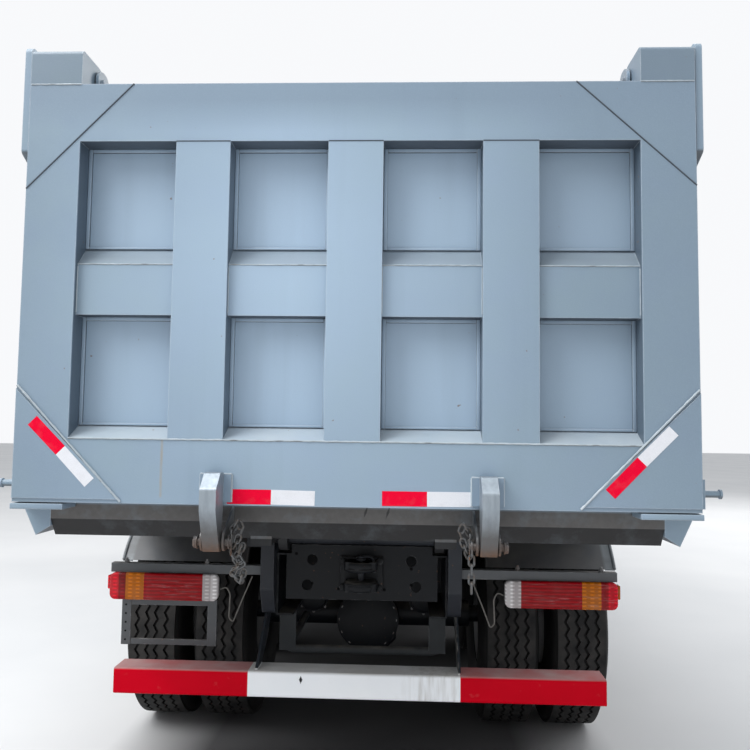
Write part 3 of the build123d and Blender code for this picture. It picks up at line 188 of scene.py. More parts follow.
sky = bpy.data.worlds.new("sky")
bpy.context.scene.world = sky
sky.use_nodes = True
sky_nodes, sky_links = sky.node_tree.nodes, sky.node_tree.links
sky_nodes.clear()
path, mix = sky_nodes.new("ShaderNodeLightPath"), sky_nodes.new("ShaderNodeMixShader")
ambient, backdrop = (sky_nodes.new("ShaderNodeBackground") for _ in range(2))
ambient.inputs["Color"].default_value = (0.93, 0.96, 1, 1)
ambient.inputs["Strength"].default_value = 0.62
backdrop.inputs["Color"].default_value = (0.97, 0.98, 1, 1)
backdrop.inputs["Strength"].default_value = 0.97
largest = [sky_nodes.new("ShaderNodeMath") for _ in range(2)]
for node in largest:
    node.operation = "MAXIMUM"
sky_links.new(path.outputs["Is Camera Ray"], largest[0].inputs[0])
sky_links.new(path.outputs["Is Glossy Ray"], largest[0].inputs[1])
sky_links.new(largest[0].outputs[0], largest[1].inputs[0])
sky_links.new(path.outputs["Is Transmission Ray"], largest[1].inputs[1])
sky_links.new(largest[1].outputs[0], mix.inputs[0])
sky_links.new(ambient.outputs[0], mix.inputs[1])
sky_links.new(backdrop.outputs[0], mix.inputs[2])
sky_links.new(mix.outputs[0], sky_nodes.new("ShaderNodeOutputWorld").inputs[0])

for name, place, size, power in (("rear_lamp", (-7.5, -8, 10), 7, 900), ("front_lamp", (8, 9, 9), 7, 620),
                                 ("side_lamp", (10, -2, 6), 6, 120),
                                 ("overhead_lamp", (-2.5, -5, 11), 8, 560)):
    light = bpy.data.lights.new(name, "AREA")
    light.shape, light.size, light.energy = "DISK", size, power
    lamp = bpy.data.objects.new(name, light)
    lamp.matrix_world = (Matrix.Translation(place)
                         @ (Vector((0, 0, 1)) - Vector(place)).to_track_quat("-Z", "Y").to_matrix().to_4x4())
    bpy.context.scene.collection.objects.link(lamp)


# Frame, subframe and everything painted with them: pressed and welded steel, sprayed near-black
# after assembly, with road dust on what faces up and rust where stones have struck the edges.
def give(finish, *nodes):
    """Finish of whole CAD nodes."""
    for node in nodes:
        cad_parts[node].data.materials.clear()
        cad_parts[node].data.materials.append(finish)


def times(factor, colour):
    """A colour made paler or darker."""
    return tuple(factor * part for part in colour)


def painted(name, deep, pale, roughness, dust=(0.30, 0.27, 0.23), dusty=0.5, edge_width=0.006,
            metal=(0.34, 0.35, 0.36), gleam=0.5):
    """Sprayed paint: two close tones, orange-peel, dust on upward faces and edges rubbed to metal, partly
    painted highlight.
    """
    paint = Finish(name)
    cloud = paint.noise(1.7, 3).band(0.35, 0.65)
    fine = paint.noise(38, 6, rough=0.65)
    colour = paint.blend(cloud, deep, pale)
    colour = paint.blend(fine.band(0.35, 0.9) * 0.25, colour, times(0.7, deep))
    settled = paint.level.band(0.3, 0.95) * paint.noise(9, 5).band(0.3, 0.7) * dusty
    colour = paint.blend(settled, colour, dust)
    # Edges take the metal colour: partly wear, partly a painted highlight.
    edge_wear_and_highlight = paint.edge(edge_width) * paint.noise(21, 4).band(0.5, 0.62)
    colour = paint.blend(edge_wear_and_highlight * 0.8, colour, metal)
    flecks = paint.noise(60, 2).band(0.72, 0.76)
    colour = paint.blend(flecks * 0.5, colour, (0.16, 0.075, 0.035))
    rough = settled * 0.4 + edge_wear_and_highlight * 0.1 + fine * 0.12 + (roughness - 0.06)
    normal = paint.bump(paint.noise(240, 2), 0.0003, paint.soft_edge(0.003))
    return paint.shade(Base_Color=colour, Roughness=rough, Normal=normal, Specular_IOR_Level=gleam)


chassis_black = painted("chassis_black", (0.0035, 0.0045, 0.0062), (0.0065, 0.008, 0.011), 0.46,
                        metal=(0.16, 0.165, 0.17), gleam=0.22)
give(chassis_black, "frame", "subframe", "tow_jaw", "rear_axles", "front_axle", "leaf_springs",
     "hoist_cradle", "hoist_barrel", "cab_mounts", "propeller_shafts", "knuckle_left", "knuckle_right",
     "air_tanks")
bracket_grey = painted("bracket_grey", (0.016, 0.018, 0.023), (0.028, 0.032, 0.040), 0.5,
                       metal=(0.20, 0.21, 0.22), gleam=0.3)
give(bracket_grey, "tip_brackets")
give(painted("bar_grey", (0.030, 0.034, 0.037), (0.050, 0.055, 0.059), 0.5, gleam=0.3), "stabiliser_bar")

gate_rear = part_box("tailgate")[0].y


def at(x, station, height):
    """Point by its metres to the right, forward from the tailgate's rear face and up."""
    return Vector((x, gate_rear + station, height))


def soften(shape, edges, radius, segments=2):
    """Rounds some edges of a shape."""
    bmesh.ops.bevel(shape, geom=edges, offset=radius, offset_type="OFFSET", segments=segments, affect="EDGES",
                    profile=0.5, material=-1)


def box(shape, low, high, round_by=0.0, segments=2):
    """Cuboid between two opposite corners with rounded edges."""
    made = bmesh.ops.create_cube(shape, size=1)["verts"]
    bmesh.ops.scale(shape, vec=[abs(b - a) for a, b in zip(low, high)], verts=made)
    bmesh.ops.translate(shape, vec=(Vector(low) + Vector(high)) / 2, verts=made)
    if round_by:
        edges = dict.fromkeys(edge for vert in made for edge in vert.link_edges)
        soften(shape, list(edges), round_by, segments)


def bar(shape, start, end, radius, sides=16, end_radius=None, round_by=0.0):
    """Round or many-sided bar between two points."""
    line = Vector(end) - Vector(start)
    turn = line.to_track_quat("Z", "Y").to_matrix().to_4x4()
    made = bmesh.ops.create_cone(shape, cap_ends=True, segments=sides, radius1=radius,
                                 radius2=radius if end_radius is None else end_radius, depth=line.length,
                                 matrix=Matrix.Translation((Vector(start) + Vector(end)) / 2) @ turn)["verts"]
    if round_by:
        edges = dict.fromkeys(edge for vert in made for edge in vert.link_edges)
        soften(shape, [e for e in edges if any(len(face.verts) > 4 for face in e.link_faces)], round_by)


def bolt(shape, seat, out, across=0.024):
    """Hexagon bolt head with its washer, standing on a seat along a direction."""
    out = Vector(out).normalized()
    seat = Vector(seat)
    bar(shape, seat, seat + out * across * 0.12, across * 0.72, 16)
    bar(shape, seat, seat + out * across * 0.65, across * 0.58, 6, round_by=across * 0.05)


def run(shape, points, radius, sides=8):
    """Round bar, pipe or hose that follows points."""
    path = [Vector(point) for point in points]
    legs = [(b - a).normalized() for a, b in zip(path, path[1:])]
    ahead = [legs[0]] + [(a + b).normalized() for a, b in zip(legs, legs[1:])] + [legs[-1]]
    side = ahead[0].orthogonal().normalized()
    rings = []
    for point, along in zip(path, ahead):
        side = (side - along * side.dot(along)).normalized()
        up = along.cross(side)
        rings.append([shape.verts.new(point + (side * math.cos(turn) + up * math.sin(turn)) * radius)
                      for turn in (math.tau * n / sides for n in range(sides))])
    for low, high in zip(rings, rings[1:]):
        for n in range(sides):
            shape.faces.new((low[n - 1], low[n], high[n], high[n - 1]))
    shape.faces.new(list(reversed(rings[0])))
    shape.faces.new(rings[-1])


def bent(points, reach, steps=5):
    """Points with each corner between them turned into a curve that starts reach before it."""
    path = [Vector(point) for point in points]
    turned = [path[0]]
    for before, corner, after in zip(path, path[1:], path[2:]):
        near, far = before - corner, after - corner
        start = corner + near.normalized() * min(reach, near.length * 0.49)
        end = corner + far.normalized() * min(reach, far.length * 0.49)
        for step in range(steps + 1):
            part = step / steps
            turned.append(start.lerp(corner, part).lerp(corner.lerp(end, part), part))
    return turned + [path[-1]]


def fit(name, shape, finish, body):
    """Finished piece from a bmesh, riding on a body, with its material's slot."""
    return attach(sheet_of(name, shape, finish), body)


def merge(shape, piece):
    """Puts a small mesh into a larger one."""
    mesh = bpy.data.meshes.new("merged")
    piece.to_mesh(mesh)
    piece.free()
    shape.from_mesh(mesh)
    bpy.data.meshes.remove(mesh)


# Bolts of the chassis: plated flange bolts that hold cross members and brackets to the rails, driven in
# through drilled holes and turned tight against their washers.
zinc = Finish("zinc_bolt")
rusted = zinc.noise(14, 6, rough=0.7).band(0.52, 0.68)
plated = zinc.blend(zinc.noise(55, 4), (0.10, 0.10, 0.105), (0.2, 0.2, 0.2))
zinc_bolt = zinc.shade(Base_Color=zinc.blend(rusted, plated, (0.10, 0.045, 0.02)),
                       Metallic=(1 - rusted) * 0.6, Roughness=rusted * 0.4 + 0.45)
chassis_bolts = bmesh.new()
plate_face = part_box("frame")[0].y
for side in (-1, 1):
    for station in (1.25, 2.315, 3.5, 4.7, 5.7):
        for step in (-0.035, 0.035):
            for height in (0.80, 0.86, 0.92):
                bolt(chassis_bolts, at(side * 0.39, station + step, height), (side, 0, 0), 0.022)
    for station in (0.86, 0.915):
        for height in (0.78, 0.95):
            bolt(chassis_bolts, at(side * 0.404, station, height), (side, 0, 0), 0.022)
fit("chassis_bolts", chassis_bolts, zinc_bolt, "chassis")


# Tyres: black rubber with zig-zag ribs moulded round the tread, dusty on the outer walls and the tread, with
# painted shade on the inner walls and the groove floors.
# Each is a turned carcass with the ribs standing on it, and takes the place of the plain ring.
tyre_radius, groove_depth = 0.55, 0.014
rib_edges = (-0.116, -0.080, -0.066, -0.029, -0.015, 0.015, 0.029, 0.066, 0.080, 0.116)
zigzag_count, zigzag_swing = 56, 0.0085


def rubber(name, station):
    """Rubber with rings, dust and painted shade laid round the axle at one station."""
    tyre = Finish(name)
    around = tyre.node("Mapping", {}, {"Vector": tyre.place, "Location": -at(0, station, tyre_radius)})
    flat = tyre.node("VectorMath", {"operation": "MULTIPLY"}, {0: around, 1: (0, 1, 1)})
    out = tyre.node("VectorMath", {"operation": "LENGTH"}, {0: flat}, "Value")
    worn = tyre.noise(12, 5).band(0.35, 0.65)
    low = out.band(tyre_radius - 0.002, tyre_radius - 0.012)
    wall = out.band(tyre_radius - 0.02, tyre_radius - 0.05)
    outside = abs(tyre.x).band(1.105, 1.135)
    dust = wall * outside * (tyre.noise(5, 6).band(0.3, 0.75) * 0.25 + 0.06) + (1 - wall) * worn * 0.13
    colour = tyre.blend(worn, (0.008, 0.008, 0.0085), (0.017, 0.017, 0.0175))
    # Painted shade: the inner walls are darker than the outer ones.
    colour = tyre.blend(wall * (1 - outside), colour, (0.0035, 0.0035, 0.0038))
    colour = tyre.blend(dust, colour, (0.150, 0.135, 0.118))
    # Painted shade: the groove floors go near black.
    colour = tyre.blend(low * (1 - wall) * 0.9, colour, (0.0018, 0.0018, 0.002))
    rings = (out * 420).math("SINE").band(0.2, 0.9) * wall
    scuffs = tyre.noise(90, 5, rough=0.7)
    return tyre.shade(Base_Color=colour, Roughness=dust * 0.2 + 0.68, Specular_IOR_Level=0.3,
                      Normal=tyre.bump(rings * 0.5 + scuffs * 0.5, 0.0012))


def carcass(shape, middle, station):
    """Turned tyre body: beads, bulged walls, dropped shoulders and the floor of the tread."""
    centre = at(middle, station, tyre_radius)
    half = [(0.104, 0.254), (0.124, 0.258), (0.135, 0.275), (0.142, 0.305), (0.1495, 0.365), (0.15, 0.425),
            (0.144, 0.475), (0.134, 0.508), (0.126, 0.524), (0.1175, 0.533),
            (0.108, tyre_radius - groove_depth)]
    rows = [(-x, r) for x, r in half] + half[::-1]
    verts = [shape.verts.new(centre + Vector((x, 0, r))) for x, r in rows]
    edges = [shape.edges.new(pair) for pair in zip(verts, verts[1:])]
    bmesh.ops.spin(shape, geom=verts + edges, cent=centre, axis=(1, 0, 0), angle=math.tau, steps=72,
                   use_merge=True)


def ribs(shape, middle, station):
    """Five ribs whose edges zig-zag round the tread, the outer pair with sipes."""
    steps = zigzag_count * 4
    for low, high in zip(rib_edges[::2], rib_edges[1::2]):
        strip = bmesh.ops.create_grid(shape, x_segments=steps, y_segments=1, size=0.5)["verts"]
        faces = list(dict.fromkeys(face for vert in strip for face in vert.link_faces))
        walls = bmesh.ops.extrude_face_region(shape, geom=faces)["geom"]
        top = {v for v in walls if isinstance(v, bmesh.types.BMVert)}
        for vert in list(strip) + list(top):
            turn = round((vert.co.x + 0.5) * steps)
            edge = low if vert.co.y < 0 else high
            wave = 0 if edge in (rib_edges[0], rib_edges[-1]) else abs(turn % 4 - 2) - 1
            x = edge + wave * zigzag_swing
            crown = 0.0025 * (x / 0.116) ** 2
            radius = tyre_radius - 0.0001 - crown - (0 if vert in top else groove_depth + 0.001)
            angle = math.tau * turn / steps
            around = Vector((0, math.sin(angle), math.cos(angle)))
            vert.co = at(middle + x, station, tyre_radius) + around * radius


hands = ((-1, "left"), (1, "right"))
twins, rear_half, rear_axles = (-0.171, 0.171), 0.895, (1.64, 2.99)
axles = (("front", (0.0,), 1.010, 6.615), ("rear_1", twins, rear_half, rear_axles[1]),
         ("rear_2", twins, rear_half, rear_axles[0]))
for axle, offsets, track_half, station in axles:
    finish = rubber(f"rubber_{axle}", station)
    for side, hand in hands:
        for kind, build in (("carcass", carcass), ("tread", ribs)):
            shape = bmesh.new()
            for offset in offsets:
                build(shape, side * track_half + offset, station)
            bmesh.ops.remove_doubles(shape, verts=shape.verts, dist=0.0001)
            bmesh.ops.recalc_face_normals(shape, faces=shape.faces)
            part = fit(f"{kind}_{axle}_{hand}", shape, finish, f"{axle}_wheel_{hand}")
            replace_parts(part, f"{axle}_tyres_{hand}")


# Wheels: pressed steel discs and rims painted silver, with brake dust round the nuts. Ten nuts, each over a
# washer on its stud, clamp a disc to its hub.
rim_silver = painted("rim_silver", (0.30, 0.305, 0.31), (0.38, 0.385, 0.39), 0.38, dust=(0.16, 0.12, 0.09),
                     dusty=0.3)
for axle, *_ in axles:
    give(rim_silver, f"{axle}_rims_left", f"{axle}_rims_right")
nut_ring, nut_count = 0.155, 10
nut_steps = (0.006, 0.024, 16, 0), (0.026, 0.018, 6, 0.002), (0.044, 0.010, 10, 0.001)
for axle, _, track_half, station in axles:
    disc = 0.060 if axle == "front" else 0.012
    for side, hand in hands:
        nuts = bmesh.new()
        for n in range(nut_count):
            turn = math.tau * n / nut_count
            seat = at(side * (track_half + disc), station + nut_ring * math.sin(turn),
                      tyre_radius + nut_ring * math.cos(turn))
            for long, radius, sides, rounding in nut_steps:
                bar(nuts, seat, seat + Vector((side * long, 0, 0)), radius, sides, round_by=rounding)
        fit(f"nuts_{axle}_{hand}", nuts, zinc_bolt, f"{axle}_wheel_{hand}")


# Bed: floor, side walls and headboard of welded steel sheet, sprayed blue-grey in one coat. The paint is
# satin and mottled where the gun overlapped, dusty on ledges, dull with road grime underneath; its paler
# edges and ledges are partly a painted highlight.
def body_paint(name, deep, mid, green, roughness, dusty=0.35, grime=0.85, recess=False, marks=()):
    """Blue-grey body paint with spray clouds, faint runs, dust, grime below, rust pin-pricks and painted
    highlights.
    """
    paint = Finish(name)
    cloud = paint.noise(4.2, 5, rough=0.6).band(0.35, 0.7)
    spray = paint.noise(260, 3)
    colour = paint.blend(paint.noise(0.9, 3).band(0.35, 0.68), deep, mid)
    colour = paint.blend(cloud * 0.5, colour, green)
    ledge = paint.level.band(0.25, 0.8)
    settled = ledge * (paint.noise(6, 5).band(0.25, 0.7) * 0.5 + 0.5) * dusty
    # On the gate, painted light and shade: lighter recessed panels and a lighter patch left of the middle,
    # darker ends, and a darker band across the top.
    if recess:
        pale = abs(paint.z - 2.2).band(0.85, 0.1) * 0.65 + 0.35
        settled = settled * (paint.z.band(1.75, 1.70) * 0.8 + 0.2)
        for mask, tone in ((paint.y.band(gate_rear + 0.060, gate_rear + 0.085) * 0.6, times(1.5, mid)),
                           (abs(paint.x + 0.24).band(1.05, 0.0) * pale * 0.62, times(1.75, mid)),
                           (paint.x.band(0.5, 1.25) * 0.45, times(0.78, deep)),
                           (paint.x.band(-0.9, -1.25) * 0.25, times(0.78, deep)),
                           (paint.z.band(2.68, 2.80) * 0.75, times(0.9, deep))):
            colour = paint.blend(mask, colour, tone)
    colour = paint.blend(paint.noise(7, 5, (1, 1, 0.06)).band(0.56, 0.8) * 0.18, colour, times(0.72, deep))
    colour = paint.blend(spray.band(0.45, 0.75) * 0.10, colour, times(1.25, mid))
    # The gate's upper ledges are tinted darker.
    if recess:
        colour = paint.blend(ledge * paint.z.band(1.70, 1.75) * 0.6, colour, (0.17, 0.20, 0.225))
    # Upward faces turn a pale blue-grey: partly dust, partly a painted highlight.
    colour = paint.blend(settled, colour, (0.46, 0.52, 0.56))
    splashed = paint.level.band(-0.08, -0.55) * (paint.noise(5, 6).band(0.2, 0.8) * 0.3 + (grime - 0.3))
    colour = paint.blend(splashed, colour, (0.075, 0.068, 0.060))
    # Painted shade: the side walls and undersides inside the gate's recesses go dark.
    if recess:
        walls = abs(paint.axis(paint.facing, "X")).band(0.5, 0.9)
        walls = walls.math("MAXIMUM", paint.level.band(-0.4, -0.8))
        walls = walls * paint.y.band(gate_rear + 0.003, gate_rear + 0.010) * abs(paint.x).band(1.21, 1.20)
        colour = paint.blend(walls * 0.75, colour, (0.045, 0.064, 0.090))
    # Edges paled: partly wear, partly a painted highlight.
    edge_wear_and_highlight = paint.edge(0.006) * (paint.noise(17, 4).band(0.48, 0.62) * 0.4 + 0.6)
    colour = paint.blend(edge_wear_and_highlight * 0.85, colour, (0.60, 0.67, 0.73))
    colour = paint.blend(paint.noise(34, 2).band(0.755, 0.78) * 0.7, colour, (0.19, 0.10, 0.05))
    for mark in marks:
        colour = mark(paint, colour)
    rough = cloud * 0.08 + settled * 0.3 + splashed * 0.25 + spray * 0.08 + (roughness - 0.08)
    return paint.shade(Base_Color=colour, Metallic=0.0, Coat_Weight=0.0, Roughness=rough,
                       Normal=paint.bump(spray * 0.12 + paint.noise(1.1, 2), 0.0035, paint.soft_edge(0.0025)))


def scuffed(paint, colour):
    """Bare, gouged steel where loads have slid over the floor and along the walls inside."""
    wall_half, space_rear, space_front, floor_top = 1.1505, gate_rear + 0.117, gate_rear + 5.601, 1.2893
    inside = abs(paint.x).band(wall_half + 0.001, wall_half - 0.001)
    inside = inside * paint.z.band(floor_top - 0.0003, floor_top + 0.0003)
    inside = inside * paint.y.band(space_rear - 0.001, space_rear + 0.001)
    inside = inside * paint.y.band(space_front + 0.001, space_front - 0.001)
    gouges = paint.noise(30, 6, (1, 0.04, 1), 0.65).band(0.42, 0.62)
    deeper = paint.z.band(2.75, 1.45) * 0.45 + paint.noise(1.6, 5).band(0.35, 0.6) * 0.5
    steel = paint.blend(paint.noise(7, 6, rough=0.7).band(0.4, 0.62), (0.20, 0.20, 0.20),
                        (0.135, 0.090, 0.062))
    return paint.blend(inside * (gouges * 0.45 + 0.5) * deeper.math("MINIMUM", 1.0), colour, steel)


def soiled_and_shaded(paint, colour):
    """Clay caked on the floor's edges, near-black painted shade on the sill's foot and downward faces, and
    two scrapes in the sill's middle.
    """
    sill_top, sill_foot = 1.283, 1.150
    caked = paint.noise(11, 6, rough=0.65).band(0.2, 0.5) * 0.3 + 0.68
    caked = caked * paint.z.band(sill_top, sill_top - 0.012)
    foot = paint.z.band(sill_foot + 0.001, sill_foot - 0.001)
    clay_and_shade = paint.blend(paint.noise(45, 5), (0.086, 0.080, 0.075), (0.140, 0.132, 0.125))
    # Painted shade: the sill's foot and its downward faces go near black.
    clay_and_shade = paint.blend(foot, clay_and_shade, (0.010, 0.0105, 0.012))
    clay_and_shade = paint.blend(paint.level.band(-0.1, -0.5), clay_and_shade, (0.011, 0.0105, 0.011))
    colour = paint.blend(foot * 0.96, paint.blend(caked, colour, clay_and_shade), (0.009, 0.0095, 0.011))
    rise = paint.z - 1.262
    pair = abs(abs(paint.x - rise * 0.3 - 0.0905) - 0.0415)
    scrapes = (pair + abs(rise) * 0.22 + paint.noise(90, 3) * 0.003).band(0.0075, 0.0055)
    return paint.blend(scrapes * 0.8, colour, (0.012, 0.012, 0.013))


blue_tones = (0.232, 0.312, 0.400), (0.276, 0.364, 0.460), (0.256, 0.350, 0.396)
bed_blue = body_paint("bed_blue", *blue_tones, 0.42, marks=(scuffed,))
give(bed_blue, "bed_sides", "headboard", "hinge_cheeks", "side_brackets")
# The hinge ears take a darker copy of the bed's blue as painted shade.
give(body_paint("ear_blue_shaded", *(times(0.72, tone) for tone in blue_tones), 0.42), "gate_hinges")
give(body_paint("soiled_shaded_blue", *blue_tones, 0.55, marks=(scuffed, soiled_and_shaded)), "bed_floor")


# Tailgate: a box-section frame with four bays, closed from behind by folded skin panels. Each skin shows
# as a thin rim round its bay, and beads run along the ledges and right across under the posts.
def weld(shape, start, end, radius=0.0035, pitch=0.012):
    """Weld bead along a seam: a thin bar with ripples."""
    start, end = Vector(start), Vector(end)
    bead = bmesh.new()
    bar(bead, start, end, radius, 6)
    long_edges = [edge for edge in bead.edges if edge.calc_length() > radius * 4]
    bmesh.ops.subdivide_edges(bead, edges=long_edges, cuts=max(2, int((end - start).length / pitch)))
    along = (end - start).normalized()
    for vert in bead.verts:
        foot = start + along * (vert.co - start).dot(along)
        vert.co = foot + (vert.co - foot) * random.uniform(0.75, 1.25)
    merge(shape, bead)


def rust_run(paint, colour):
    """A thin rusty run down the gate from the bead under its first post."""
    off = abs(paint.x + (paint.noise(6, 3, (0, 0, 1)) * 0.006 - 0.003) + 0.694)
    run_foot = gate_low.z + 0.02
    trickle = off.band(0.0065, 0.002) * paint.z.band(run_foot, run_foot + 0.01)
    trickle = trickle * paint.z.band(lower_foot, lower_foot - 0.004)
    return paint.blend(trickle * (paint.noise(25, 4).band(0.2, 0.6) * 0.35 + 0.3), colour, (0.36, 0.31, 0.22))


gate_low, gate_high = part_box("tailgate")
gate_half = gate_high.x
end_post, post, bay_count = 0.200, 0.205, 4
bay_width = (2 * gate_half - 2 * end_post - (bay_count - 1) * post) / bay_count
bay_lefts = [-gate_half + end_post + n * (bay_width + post) for n in range(bay_count)]
lower_foot = gate_low.z + 0.235
rail_foot = lower_foot + 0.461
rail_top = rail_foot + 0.192
lid = rail_top + 0.464
skin_depth, rail_depth, rim_wide, rim_thick = 0.095, 0.025, 0.015, 0.010
gate_blue = body_paint("gate_blue", *blue_tones, 0.40, 0.8, recess=True, marks=(rust_run,))
give(gate_blue, "tailgate")
# The beads' paint is paler than the gate's, partly a painted highlight.
bead_highlight_paint = body_paint("bead_highlight_paint", (0.36, 0.42, 0.46), (0.48, 0.54, 0.58), (0.42, 0.49, 0.51), 0.34)
rims, gate_beads = bmesh.new(), bmesh.new()
for left in bay_lefts:
    right = left + bay_width
    for foot, top in ((lower_foot + 0.048, rail_foot), (rail_top + 0.070, lid)):
        for low, high in (((left, foot), (left + rim_wide, top)), ((right - rim_wide, foot), (right, top)),
                          ((left + rim_wide, foot), (right - rim_wide, foot + rim_wide * 0.7)),
                          ((left + rim_wide, top - rim_wide), (right - rim_wide, top))):
            box(rims, at(low[0], skin_depth - rim_thick, low[1]),
                at(high[0], skin_depth + 0.001, high[1]), 0.003)
    weld(gate_beads, at(left, rail_depth, rail_top), at(right, rail_depth, rail_top), 0.0028)
    for x in (left, right):
        weld(gate_beads, at(x, rail_depth, rail_foot + 0.01), at(x, rail_depth, rail_top - 0.01), 0.003)
weld(gate_beads, at(-gate_half + end_post, 0, lower_foot), at(gate_half - end_post, 0, lower_foot), 0.0035)
fit("bay_rims", rims, gate_blue, "tailgate")
fit("gate_beads", gate_beads, bead_highlight_paint, "tailgate")


# Tailgate corners: plates over the frame's corners. The upper ones are let in flush, their joint drawn as a
# dark line of painted shadow; the lower ones lie on top, with a pale bead, partly a painted highlight, along
# the long edge that runs on past their points. Lines of painted shadow also cross the posts' tops under the
# top rail.
# Painted shadow: a dark finish for the lines along the upper plates' edges and the posts' tops.
joint_shade = Finish("joint_shade_line")
tone = joint_shade.blend(joint_shade.noise(40, 3), (0.040, 0.050, 0.064), (0.075, 0.090, 0.110))
joint_shade_line = joint_shade.shade(Base_Color=tone, Roughness=0.8)
corner_joint_shade, corner_plates, corner_beads = bmesh.new(), bmesh.new(), bmesh.new()
plate_wall = 0.005
for side, top_run, top_drop, low_run, low_rise in ((-1, 0.400, 0.405, 0.396, 0.416),
                                                   (1, 0.432, 0.393, 0.418, 0.424)):
    edge = side * gate_half
    bar(corner_joint_shade, at(edge - side * top_run, 0, gate_high.z), at(edge, 0, gate_high.z - top_drop),
        0.0030, 6)
    weld(corner_beads, at(edge - side * 0.004, 0, gate_high.z - 0.001),
         at(edge - side * 0.198, 0, gate_high.z - 0.001), 0.003)
    rows = [(edge, gate_low.z + 0.014), (edge, gate_low.z + low_rise),
            (edge - side * low_run, gate_low.z + 0.014)]
    plate = corner_plates.faces.new([corner_plates.verts.new(at(x, 0.001, z)) for x, z in rows])
    lifted = bmesh.ops.extrude_face_region(corner_plates, geom=[plate])["geom"]
    bmesh.ops.translate(corner_plates, vec=(0, -plate_wall - 0.001, 0),
                        verts=[v for v in lifted if isinstance(v, bmesh.types.BMVert)])
    weld(corner_beads, at(edge - side * 0.004, -0.004, gate_low.z + low_rise + 0.012),
         at(edge - side * (low_run + 0.008), -0.004, gate_low.z + 0.006), 0.0042)
bmesh.ops.recalc_face_normals(corner_plates, faces=corner_plates.faces)
for left in (bay_left + bay_width for bay_left in bay_lefts[:-1]):
    bar(corner_joint_shade, at(left, 0, lid), at(left + post, 0, lid), 0.0022, 6)
fit("corner_joint_shade", corner_joint_shade, joint_shade_line, "tailgate")
fit("corner_plates", corner_plates, gate_blue, "tailgate")
fit("corner_beads", corner_beads, bead_highlight_paint, "tailgate")


# Stop strips: flat steel bars in the bed's paint, welded on its rear corners under the gate, which stands
# just over them when it is closed.
stop_strips, bed_half = bmesh.new(), 1.250
for side, length in ((-1, 0.196), (1, 0.219)):
    box(stop_strips, at(side * bed_half, -0.004, gate_low.z - 0.026),
        at(side * (bed_half - length), 0.114, gate_low.z - 0.005), 0.002)
fit("stop_strips", stop_strips, bed_blue, "bed")


# Reflective tapes: 50 mm red and white micro-prism film stuck on the gate, two along its lower edge and
# one slanted in each lower corner. The film shows a fine diamond lattice under a clear coat.
def tape_film(name, colour, deep):
    """Micro-prism film of one colour, deeper along the prisms' edges and a little dirty."""
    film = Finish(name)
    lattice = film.node("TexVoronoi", {"feature": "DISTANCE_TO_EDGE"}, {"Vector": film.place, "Scale": 220},
                        "Distance")
    cells = lattice.band(0.02, 0.12)
    dirt = film.noise(25, 5).band(0.5, 0.8)
    tone = film.blend(cells * 0.55 + 0.45, deep, colour)
    return film.shade(Base_Color=film.blend(dirt * 0.14, tone, (0.35, 0.33, 0.30)),
                      Roughness=dirt * 0.3 + 0.34, Specular_IOR_Level=0.08,
                      Normal=film.bump(cells, 0.0002))


tape_red = tape_film("tape_red", (0.92, 0.0006, 0.036), (0.72, 0.0004, 0.026))
tape_white = tape_film("tape_white", (0.84, 0.85, 0.89), (0.72, 0.74, 0.79))
tape_wall = 0.0008
tape_runs = {"left_level": (0.053, 0, (-0.449, 1.3215), (-0.289, 1.3215), (-0.130, 1.3195)),
             "right_level": (0.053, 0, (0.1125, 1.3235), (0.274, 1.3235), (0.438, 1.3245)),
             "left_slant": (0.046, plate_wall, (-1.178, 1.588), (-1.0685, 1.4795), (-0.9565, 1.364)),
             "right_slant": (0.046, plate_wall, (0.9225, 1.352), (1.035, 1.4675), (1.147, 1.5795))}
for name, (width, lift, start, split, end) in tape_runs.items():
    for (x0, z0), (x1, z1), film, tone in ((start, split, tape_red, "red"),
                                           (split, end, tape_white, "white")):
        strip = bmesh.new()
        box(strip, (0, 0, -width / 2), (math.hypot(x1 - x0, z1 - z0), tape_wall, width / 2), 0.0003, 1)
        turn = Matrix.Rotation(-math.atan2(z1 - z0, x1 - x0), 4, "Y")
        place = Matrix.Translation((x0, gate_rear - tape_wall - lift, z0))
        bmesh.ops.transform(strip, verts=strip.verts, matrix=place @ turn)
        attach(sheet_of(f"tape_{name}_{tone}", strip, film), "tailgate")


# Lock arms, their pressure plates and the ears they close over: flame-cut plate, zinc plated, dull and
# streaked, with brown rust creeping up from the cut lower ends.
plate = Finish("worn_zinc")
spread = plate.noise(16, 7, rough=0.7)
foot = (plate.z + spread * 0.08).band(1.222, 1.165) * 0.9
rust = foot.math("MAXIMUM", spread.band(0.62, 0.74) * 0.35)
tone = plate.blend(plate.noise(45, 5, (1, 1, 0.2)), (0.20, 0.235, 0.27), (0.46, 0.52, 0.57))
# Darker and browner towards the lower ends, above the rust.
tone = plate.blend((plate.z + spread * 0.06).band(1.330, 1.225) * 0.85, tone, (0.085, 0.075, 0.068))
# The pressure plates' faces take the gate's blue, their edges left pale as a painted highlight.
against = plate.y.band(gate_rear - 0.0140, gate_rear - 0.0125) * plate.z.band(1.290, 1.300)
tone = plate.blend(against * (1 - plate.edge(0.003)), tone, (0.232, 0.312, 0.400))
brown = plate.blend(plate.noise(60, 4), (0.052, 0.030, 0.020), (0.210, 0.098, 0.045))
worn_zinc = plate.shade(Base_Color=plate.blend(rust, tone, brown), Metallic=(1 - rust) * (1 - against) * 0.6,
                        Roughness=rust * 0.4 + spread * 0.25 + 0.28,
                        Normal=plate.bump(spread, 0.0012, plate.soft_edge(0.002)))
give(worn_zinc, "lock_arms", "latch_ears")


